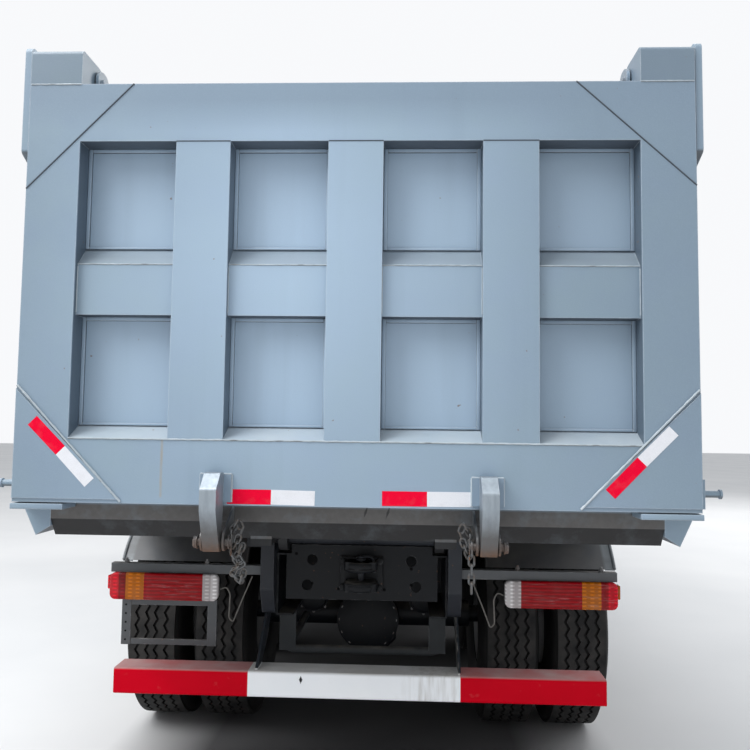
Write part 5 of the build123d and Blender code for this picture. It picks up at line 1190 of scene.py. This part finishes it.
# Glass: greenish laminated screen, rear pane and door panes, and the silvered mirrors, cleaned in the
# middle and dusty towards their edges.
pane = Finish("cab_glass")
smear = pane.noise(5, 4).band(0.45, 0.8)
pane.shade(Base_Color=pane.blend(smear, (0.62, 0.72, 0.70), (0.55, 0.60, 0.58)),
           Roughness=smear * 0.06 + 0.02, Transmission_Weight=0.9, IOR=1.45)
give(pane.material, "windscreen", "door_glass_left", "door_glass_right")
silvered = Finish("silvered_glass")
bloom = silvered.noise(7, 5).band(0.5, 0.85)
silvered.shade(Base_Color=silvered.blend(bloom, (0.86, 0.88, 0.89), (0.5, 0.5, 0.48)), Metallic=1.0,
               Roughness=bloom * 0.25 + 0.02)
mirror_glass = bmesh.new()
for side in (-1, 1):
    for foot, top in ((1.994, 2.346), (1.789, 1.931)):
        box(mirror_glass, at(side * 1.380 - 0.068, 7.866, foot), at(side * 1.380 + 0.068, 7.872, top), 0.002)
fit("mirror_glass", mirror_glass, silvered.material, "cab")


# Engine and gearbox: cast iron, sprayed grey in place, ribbed against drumming, with bolted flanges, a
# pressed sump and oil and dust baked on the sides.
engine_grey = painted("engine_grey", (0.05, 0.054, 0.058), (0.09, 0.095, 0.10), 0.4, dust=(0.09, 0.07, 0.05))
give(engine_grey, "engine")
casting, casting_bolts, crank_height = bmesh.new(), bmesh.new(), 0.830
for side in (-1, 1):
    for n in range(7):
        station = 6.76 + n * 0.155
        box(casting, at(side * 0.294, station - 0.010, 0.74), at(side * 0.306, station + 0.010, 1.10), 0.003)
    box(casting, at(side * 0.294, 6.66, 0.700), at(side * 0.318, 7.79, 0.722), 0.004)
    for n in range(14):
        bolt(casting_bolts, at(side * 0.310, 6.71 + n * 0.080, 0.722), (0, 0, 1), 0.012)
for n in range(12):
    turn = math.tau * (n + 0.5) / 12
    bolt(casting_bolts, at(0.215 * math.cos(turn), 6.640, crank_height + 0.205 * math.sin(turn)),
         (0, -1, 0), 0.014)
turned(casting, at(0, 6.662, crank_height), (0, -1, 0), ((0, 0.236), (0.022, 0.236), (0.022, 0.20)), 40)
for x in (-0.15, -0.05, 0.05, 0.15):
    box(casting, at(x - 0.008, 6.14, 0.608), at(x + 0.008, 6.60, 0.640), 0.003)
turned(casting_bolts, at(0.08, 7.05, 0.642), (0, 0, -1),
       ((0, 0.022), (0.006, 0.022), (0.006, 0.014), (0.020, 0.014)), 24)
fit("engine_castings", casting, engine_grey, "chassis")
fit("engine_bolts", casting_bolts, zinc_bolt, "chassis")


# Fuel tank: brushed aluminium sheet with welded ends, strapped down over rubber strips on two brackets, and
# stained below its locking cap.
tank = Finish("tank_metal")
brush = tank.noise(60, 4, (1, 0.04, 1))
stain = tank.noise(4, 5).band(0.45, 0.75)
sheet = tank.blend(brush, (0.42, 0.43, 0.44), (0.6, 0.61, 0.62))
tank_metal = tank.shade(Base_Color=tank.blend(stain * 0.5, sheet, (0.25, 0.23, 0.2)),
                        Metallic=(1 - stain) * 0.5 + 0.35, Roughness=brush * 0.2 + stain * 0.2 + 0.28,
                        Normal=tank.bump(brush, 0.0004, tank.soft_edge(0.003)))
give(tank_metal, "fuel_tank")
tank_bands, band_rubbers, tank_beads = bmesh.new(), bmesh.new(), bmesh.new()
tank_low, tank_high, tank_corner, lift = (-1.010, 0.560), (-0.450, 1.040), 0.090, 0.0035
for station in (4.47, 5.13):
    strap(band_rubbers, tank_low, tank_high, tank_corner, station - 0.032, 0.064, 0.003)
    strap(tank_bands, [edge - lift for edge in tank_low], [edge + lift for edge in tank_high],
          tank_corner + lift, station - 0.025, 0.050, 0.003)
    for height in (0.70, 0.90):
        bar(tank_bands, at(-1.026, station, height - 0.03), at(-1.026, station, height + 0.03), 0.007, 10)
        box(tank_bands, at(-1.034, station - 0.016, height - 0.012),
            at(-1.010, station + 0.016, height + 0.012), 0.002)
for station in (4.262, 5.332):
    strap(tank_beads, tank_low, tank_high, tank_corner, station, 0.006, 0.002)
turned(tank_beads, at(-0.84, 5.17, 1.060), (0, 0, 1),
       ((0, 0.050), (0.022, 0.050), (0.028, 0.044), (0.028, 0)), 36)
box(tank_beads, at(-0.876, 5.163, 1.084), at(-0.804, 5.177, 1.100), 0.003)
fit("tank_bands", tank_bands, zinc_bolt, "chassis")
fit("band_rubbers", band_rubbers, seal_rubber, "chassis")
fit("tank_beads", tank_beads, tank_metal, "chassis")


# Air tanks and battery box: painted steel tanks banded to an arm, with drain valves below, and a box with a
# ribbed lid of black plastic held by two moulded latches.
tank_bits, lid = bmesh.new(), bmesh.new()
air_x, air_radius = 0.580, 0.115
for height in (0.700, 0.950):
    for station in (5.02, 5.30):
        strap(tank_bits, (air_x - air_radius, height - air_radius), (air_x + air_radius, height + air_radius),
              air_radius, station, 0.032, 0.003)
    turned(tank_bits, at(air_x, 5.18, height - air_radius + 0.002), (0, 0, -1),
           ((0, 0.012), (0.012, 0.012), (0.014, 0.007), (0.030, 0.007)), 12)
box(lid, at(0.444, 4.244, 0.985), at(0.876, 4.856, 1.050), 0.012, 3)
for n in range(6):
    station = 4.32 + n * 0.092
    box(lid, at(0.47, station - 0.010, 1.048), at(0.85, station + 0.010, 1.056), 0.003)
    box(lid, at(0.868, station - 0.008, 0.68), at(0.878, station + 0.008, 0.95), 0.003)
for station in (4.36, 4.74):
    box(lid, at(0.872, station - 0.014, 0.90), at(0.892, station + 0.014, 1.02), 0.005, 2)
fit("air_tank_bands", tank_bits, zinc_bolt, "chassis")
fit("battery_lid", lid, black_plastic, "chassis")


# Silencer: aluminised steel drum, scaled and rust-brown with heat, held by two bands, with nine stiffening
# beads pressed along its outer side and a soot-dark tail pipe.
drum = Finish("hot_steel")
scale = drum.noise(11, 7, rough=0.7)
soot = drum.x.band(0.93, 1.02)
tone = drum.blend(scale.band(0.35, 0.65), (0.105, 0.075, 0.055), (0.215, 0.190, 0.170))
hot_steel = drum.shade(Base_Color=drum.blend(soot, tone, (0.018, 0.016, 0.015)), Metallic=(1 - soot) * 0.45,
                       Roughness=scale * 0.3 + 0.42, Normal=drum.bump(scale, 0.0015, drum.soft_edge(0.003)))
give(hot_steel, "silencer")
drum_bits = bmesh.new()
drum_x, drum_height, drum_radius, bead_ring = 0.672, 0.800, 0.185, 0.196
for station in (5.575, 5.835):
    strap(drum_bits, (drum_x - drum_radius, drum_height - drum_radius),
          (drum_x + drum_radius, drum_height + drum_radius), drum_radius, station, 0.030, 0.004)
for n in range(9):
    turn = math.radians(-40 + 10 * n)
    middle = at(drum_x + bead_ring * math.cos(turn), 5.63, drum_height + bead_ring * math.sin(turn))
    bar(drum_bits, middle, middle + Vector((0, 0.18, 0)), 0.007, 6)
fit("silencer_bands", drum_bits, hot_steel, "chassis")


# Running gear fittings: U-bolts over the spring packs and the subframe, the packs' leaf joints, brake
# chambers behind the axle tubes, bolted covers on the axle casings and pipes clipped along the rails.
gear_bolts, leaf_joints, chambers, pipes = (bmesh.new() for _ in range(4))


def clamp(shape, x, half, station, low, high, radius=0.010):
    """U-bolt upside down over a pack, with its two nuts below."""
    for side in (-1, 1):
        bar(shape, at(x + side * half, station, low - 0.020), at(x + side * half, station, high), radius, 10)
        bar(shape, at(x + side * half, station, low - 0.018), at(x + side * half, station, low),
            radius * 1.9, 6)
    bar(shape, at(x - half - radius, station, high), at(x + half + radius, station, high), radius, 10)


def leaves(shape, x, lower, upper, count):
    """Dark joints between the leaves, on one side face of a pack, between its two edge lines."""
    for n in range(1, count):
        part = n / count
        points = [(a[0] + (b[0] - a[0]) * part, a[1] + (b[1] - a[1]) * part) for a, b in zip(lower, upper)]
        run(shape, [at(x, station, height) for station, height in points], 0.0016, 4)


def both_ways(middle, rows):
    """Edge line of a pack from its rear half: the other half is the same, the other way round."""
    rear = [(middle - reach, height) for reach, height in rows]
    return rear + [(2 * middle - station, height) for station, height in rear[::-1]]


packs = [(both_ways(6.615, [(0.745, 0.680), (0.315, 0.5635), (0.100, 0.512)]),
          both_ways(6.615, [(0.745, 0.710), (0.315, 0.640), (0.120, 0.602)]), 4),
         (both_ways(2.315, [(0.755, 0.622), (0.515, 0.627), (0.150, 0.662)]),
          both_ways(2.315, [(0.755, 0.652), (0.515, 0.700), (0.180, 0.772)]), 5)]
chamber = ((0, 0.030), (0.030, 0.030), (0.045, 0.070), (0.082, 0.078), (0.084, 0.084), (0.096, 0.084),
           (0.098, 0.078), (0.150, 0.070), (0.162, 0.050), (0.164, 0))
flange_ring, cover_ring = 0.089, 0.150
for side in (-1, 1):
    for x, low, high, radius, stations in ((0.436, 0.400, 0.622, 0.010, (6.54, 6.69)),
                                           (0.436, 0.600, 0.792, 0.010, (2.21, 2.42)),
                                           (0.35, 0.712, 1.122, 0.008, (1.4, 2.05, 3.1, 3.9, 4.9))):
        for station in stations:
            clamp(gear_bolts, side * x, 0.052, station, low, high, radius)
    for x in (side * 0.3965, side * 0.4755):
        for lower, upper, count in packs:
            leaves(leaf_joints, x, lower, upper, count)
    for axle_station in rear_axles:
        place = at(side * 0.300, axle_station - 0.070, 0.665)
        turned(chambers, place, (0, -1, 0), chamber, 32)
        for n in range(8):
            turn = math.tau * n / 8
            around = Vector((math.cos(turn), 0, math.sin(turn)))
            bolt(gear_bolts, place + around * flange_ring + Vector((0, -0.082, 0)), (0, 1, 0), 0.010)
    route = ((1.02, 0.955), (2.9, 0.955), (3.0, 0.90), (5.5, 0.90))
    run(pipes, bent([at(side * 0.372, station, height) for station, height in route], 0.03), 0.009, 8)
for axle_station in rear_axles:
    turned(chambers, at(0, axle_station - 0.120, tyre_radius), (0, -1, 0),
           ((0, 0.166), (0.082, 0.166), (0.084, 0.160), (0.096, 0.140), (0.106, 0.060), (0.108, 0)), 48)
    for n in range(14):
        turn = math.tau * n / 14
        bolt(gear_bolts, at(cover_ring * math.cos(turn), axle_station - 0.200,
                            tyre_radius + cover_ring * math.sin(turn)), (0, -1, 0), 0.014)
fit("gear_bolts", gear_bolts, zinc_bolt, "chassis")
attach(sheet_of("leaf_joints", leaf_joints, hole_and_gap_shade), "chassis")
fit("brake_chambers", chambers, chassis_black, "chassis")
fit("brake_pipes", pipes, black_plastic, "chassis")


# Hoist: the cover tube is painted, and the stages inside it are hard-chromed with a film of oil. Two turned
# rings are welded round the cover tube, a tall one near its foot and a thin one further up.
chrome = Finish("chrome_tube")
oil = chrome.noise(6, 5, (1, 1, 0.2)).band(0.4, 0.75)
chrome.shade(Base_Color=chrome.blend(oil, (0.62, 0.63, 0.65), (0.30, 0.27, 0.23)),
             Metallic=(1 - oil) * 0.3 + 0.65, Roughness=oil * 0.25 + 0.14)
give(chrome.material, "hoist_stage_1", "hoist_stage_2", "hoist_rod")
collars, tube_radius, collar_radius = bmesh.new(), 0.0915, 0.098
for height, tall in ((0.940, 0.034), (1.800, 0.010)):
    turned(collars, at(0, 5.950, height), (0, 0, 1),
           ((0, tube_radius), (0, collar_radius), (tall, collar_radius), (tall, tube_radius)), 48, ring=True)
fit("hoist_collars", collars, chassis_black, "hoist_barrel")


# Wheel hubs: cast iron hubs with grease caps at the front and bolted axle flanges at the rear, oily in the
# middle. Eight hand holes are punched through each disc and show dark: they are discs of painted shade.
iron = Finish("hub_iron")
greasy = iron.noise(18, 6, rough=0.7)
tone = iron.blend(greasy.band(0.4, 0.65), (0.035, 0.030, 0.026), (0.115, 0.085, 0.062))
hub_iron = iron.shade(Base_Color=tone, Metallic=0.25, Roughness=greasy * 0.4 + 0.3,
                      Normal=iron.bump(greasy, 0.001, iron.soft_edge(0.002)))
front_cap = ((0, 0.060), (0.012, 0.060), (0.022, 0.052), (0.030, 0.030), (0.032, 0))
rear_flange = ((0, 0.098), (0.010, 0.098), (0.012, 0.094), (0.012, 0.050), (0.026, 0.044), (0.030, 0.020),
               (0.030, 0))
hole_ring, shaft_ring = 0.221, 0.074
for axle, _, track_half, station in axles:
    for side, hand in hands:
        hub, holes = bmesh.new(), bmesh.new()
        out = Vector((side, 0, 0))
        if axle == "front":
            turned(hub, at(side * (track_half + 0.119), station, tyre_radius), out, front_cap, 36)
            hole_x, lean_out, lean_in = 0.083, 0.803, 0.596
        else:
            turned(hub, at(side * (track_half + 0.129), station, tyre_radius), out, rear_flange, 40)
            for n in range(10):
                turn = math.tau * n / 10
                bolt(hub, at(side * (track_half + 0.141), station + shaft_ring * math.sin(turn),
                             tyre_radius + shaft_ring * math.cos(turn)), out, 0.014)
            hole_x, lean_out, lean_in = 0.0395, 0.748, 0.664
        for n in range(8):
            turn = math.tau * (n + 0.5) / 8
            radial = Vector((0, math.sin(turn), math.cos(turn)))
            centre = at(side * (track_half + hole_x), station, tyre_radius) + radial * hole_ring
            face_out = out * lean_out - radial * lean_in
            turned(holes, centre - face_out * 0.003, face_out, ((0, 0.021), (0.0045, 0.021), (0.0046, 0)), 18)
        fit(f"hub_{axle}_{hand}", hub, hub_iron, f"{axle}_wheel_{hand}")
        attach(sheet_of(f"hand_hole_shade_{axle}_{hand}", holes, hole_and_gap_shade), f"{axle}_wheel_{hand}")


# Bed sides: beads down the edges of every bay, tarpaulin hooks under the top rail and rope hooks along the
# bottom one, a ladder welded in the left front bay, and marking tapes with amber lamps along the edge.
side_beads, hooks, side_lamps = bmesh.new(), bmesh.new(), bmesh.new()
skin, bay_long, post_pitch, bay_foot, bay_top = 1.158, 0.77917, 0.90917, 1.500, 2.690
for side, hand in hands:
    for start in (0.245 + n * post_pitch for n in range(6)):
        end = start + bay_long
        for (y0, z0), (y1, z1) in (((start + 0.004, bay_foot), (start + 0.004, bay_top)),
                                   ((end - 0.004, bay_foot), (end - 0.004, bay_top)),
                                   ((start + 0.006, bay_foot - 0.0055), (end - 0.006, bay_foot - 0.0055))):
            weld(side_beads, at(side * (skin + 0.003), y0, z0), at(side * (skin + 0.003), y1, z1),
                 0.004, 0.03)
    for n in range(7):
        station = 0.180 + n * post_pitch
        for height, drop in ((2.780, 0.070), (1.375, 0.060)):
            hook = ((1.248, 0), (1.282, 0), (1.282, drop), (1.262, drop + 0.004))
            run(hooks, bent([at(side * x, station, height - down) for x, down in hook], 0.018), 0.006, 8)
    for n, station in enumerate((0.55, 1.95, 3.35, 4.75)):
        for film, tone, first in ((tape_red, "red", 0), (tape_white, "white", 0.16)):
            strip = bmesh.new()
            box(strip, at(side * (bed_half - 0.0001), station + first, 1.300),
                at(side * (bed_half + 0.0008), station + first + 0.16, 1.350), 0.0002, 1)
            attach(sheet_of(f"side_tape_{hand}_{n}_{tone}", strip, film), "bed")
    for station in (1.2, 3.0, 4.4, 5.5):
        box(side_lamps, at(side * (bed_half - 0.001), station - 0.035, 1.385),
            at(side * (bed_half + 0.018), station + 0.035, 1.412), 0.005, 3)
for height in (1.62, 1.90, 2.18, 2.46):
    rung = ((-skin, 5.03), (-1.236, 5.03), (-1.236, 5.37), (-skin, 5.37))
    run(hooks, bent([at(x, station, height) for x, station in rung], 0.025), 0.011, 10)
fit("side_beads", side_beads, bed_blue, "bed")
fit("side_hooks", hooks, bed_blue, "bed")
fit("side_lamps", side_lamps, amber_lens, "bed")


# Seats: foam cushion, backrest and headrest in dark woven cloth, their channels sewn in after the foam has
# swelled the cover, on a steel pedestal with a rubber bellows and a recliner on the backrest's hinge.
cloth = Finish("seat_cloth")
weave = (cloth.x * 1400).math("SINE") * (cloth.z * 1100 + cloth.y * 1300).math("SINE")
centre_panel = abs(abs(cloth.x) - 0.62).band(0.118, 0.112)
faded = cloth.noise(6, 4).band(0.4, 0.7)
tone = cloth.blend(centre_panel, (0.020, 0.022, 0.028), (0.060, 0.068, 0.088))
tone = cloth.blend(weave.band(-0.5, 0.8) * 0.5, tone, (0.105, 0.112, 0.130))
cloth.shade(Base_Color=cloth.blend(faded * 0.2, tone, (0.16, 0.155, 0.15)), Roughness=faded * 0.05 + 0.88,
            Normal=cloth.bump(weave, 0.0005))


def blown(shape, cap):
    """Mesh of a pad: remeshed finely, then swelled by cloth pressure with every point's move capped."""
    scene = bpy.context.scene
    mesh = bpy.data.meshes.new("pad")
    shape.to_mesh(mesh)
    shape.free()
    pad = bpy.data.objects.new("pad", mesh)
    scene.collection.objects.link(pad)
    remesh = pad.modifiers.new("remesh", "REMESH")
    remesh.mode, remesh.voxel_size = "VOXEL", 0.006
    first = bpy.data.meshes.new_from_object(pad.evaluated_get(bpy.context.evaluated_depsgraph_get()))
    pad.modifiers.clear()
    pad.data = first
    swell = pad.modifiers.new("swell", "CLOTH").settings
    swell.use_pressure, swell.uniform_pressure_force, swell.quality = True, 4, 5
    swell.effector_weights.gravity = 0
    for frame_now in range(1, 21):
        scene.frame_set(frame_now)
    swelled = bpy.data.meshes.new_from_object(pad.evaluated_get(bpy.context.evaluated_depsgraph_get()))
    pad.modifiers.clear()
    scene.frame_set(1)
    for vert, moved in zip(first.vertices, swelled.vertices):
        shift = moved.co - vert.co
        vert.co += shift * min(1, cap / max(shift.length, 1e-6))
    bpy.data.meshes.remove(swelled)
    bpy.data.objects.remove(pad)
    return first


def sewn(mesh, lines, across, face):
    """Presses channels into a pad: each line is a place on one axis, on the side that faces one way."""
    for vert in mesh.vertices:
        for place in lines:
            gap = abs(vert.co[across] - place)
            if gap < 0.02 and vert.normal.dot(face) > 0.4:
                vert.co -= face * 0.007 * math.exp(-(gap / 0.006) ** 2)


def placed(mesh, name, middle):
    """One seat's pad from the mesh made at x = 0, with one level of subdivision and its cloth."""
    copy = mesh.copy()
    copy.transform(Matrix.Translation((middle, 0, 0)))
    copy.materials.clear()
    copy.materials.append(cloth.material)
    for face in copy.polygons:
        face.use_smooth = True
    pad = bpy.data.objects.new(name, copy)
    bpy.context.scene.collection.objects.link(pad)
    smooth = pad.modifiers.new("smooth", "SUBSURF")
    smooth.levels = smooth.render_levels = 1
    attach(pad, "cab")
    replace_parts(pad, "seats")


lean, hinge_station, seat_x = math.atan2(0.09, 0.73), 6.925, 0.620
cushion, back, rest = bmesh.new(), bmesh.new(), bmesh.new()
box(cushion, at(-0.222, 6.905, 1.492), at(0.222, 7.385, 1.606), 0.034, 4)
box(back, at(-0.208, 6.862, 1.630), at(0.208, 6.968, 2.110), 0.034, 4)
box(rest, at(-0.120, 6.872, 2.170), at(0.120, 6.945, 2.320), 0.026, 4)
for shape in (back, rest):
    bmesh.ops.rotate(shape, verts=shape.verts, cent=at(0, hinge_station, 1.600),
                     matrix=Matrix.Rotation(lean, 3, "X"))
cushion, back, rest = blown(cushion, 0.014), blown(back, 0.014), blown(rest, 0.009)
sewn(cushion, (-0.112, 0.112), 0, Vector((0, 0, 1)))
sewn(back, (-0.112, 0.112), 0, Vector((0, 1, 0)))
for side, hand in hands:
    middle = side * seat_x
    for mesh, name in ((cushion, "cushion"), (back, "backrest"), (rest, "headrest")):
        placed(mesh, f"seat_{name}_{hand}", middle)
    steelwork, bellows = bmesh.new(), bmesh.new()
    box(steelwork, at(middle - 0.19, 6.90, 1.229), at(middle + 0.19, 7.22, 1.250), 0.004)
    box(steelwork, at(middle - 0.205, 6.89, 1.448), at(middle + 0.205, 7.34, 1.484), 0.006)
    for n in range(5):
        height = 1.250 + n * 0.0396
        box(bellows, at(middle - 0.170, 6.915, height), at(middle + 0.170, 7.205, height + 0.0395), 0.014, 3)
    for x in (-0.226, 0.226):
        box(steelwork, at(middle + x - 0.010, 6.86, 1.470), at(middle + x + 0.010, 7.02, 1.590), 0.004)
        turned(steelwork, at(middle + x, hinge_station, 1.585), (x, 0, 0),
               ((0, 0.030), (0.012, 0.030), (0.016, 0.022)), 24)
    for x in (-0.060, 0.060):
        top = at(middle + x, 6.905 - 0.59 * math.sin(lean), 1.600 + 0.60 * math.cos(lean))
        bar(steelwork, top - Vector((0, 0, 0.070)), top + Vector((0, -0.010, 0.030)), 0.006, 10)
    fit(f"seat_steel_{hand}", steelwork, black_plastic, "cab")
    fit(f"seat_bellows_{hand}", bellows, seal_rubber, "cab")
give(cloth.material, "seats")


# Cab inside: moulded dials and vents clipped into the dashboard, a gear lever in a rubber gaiter on the
# floor, and a ribbed rubber mat laid over it.
dials, mat = bmesh.new(), bmesh.new()
for x in (-0.71, -0.53):
    turned(dials, at(x, 7.592, 1.740), (0, -1, 0),
           ((0, 0.062), (0.012, 0.062), (0.016, 0.054), (0.012, 0.052), (0.012, 0)), 36)
for x in (-1.05, -0.25, 0.25, 1.05):
    for n in range(4):
        box(dials, at(x - 0.060, 7.572, 1.700 + n * 0.020), at(x + 0.060, 7.600, 1.708 + n * 0.020), 0.002)
box(dials, at(-0.100, 7.576, 1.630), at(0.100, 7.600, 1.690), 0.004)
gear_lever = ((0, 0.090), (0.020, 0.086), (0.110, 0.022), (0.112, 0.013), (0.40, 0.011), (0.402, 0.024),
              (0.430, 0.028), (0.452, 0.020), (0.456, 0))
turned(dials, at(-0.16, 7.25, 1.229), (0, 0, 1), gear_lever, 24)
for n in range(24):
    station = 6.26 + n * 0.062
    box(mat, at(-1.14, station, 1.2295), at(1.14, station + 0.045, 1.238), 0.002, 1)
fit("dashboard_fittings", dials, black_plastic, "cab")
fit("floor_mat", mat, seal_rubber, "cab")
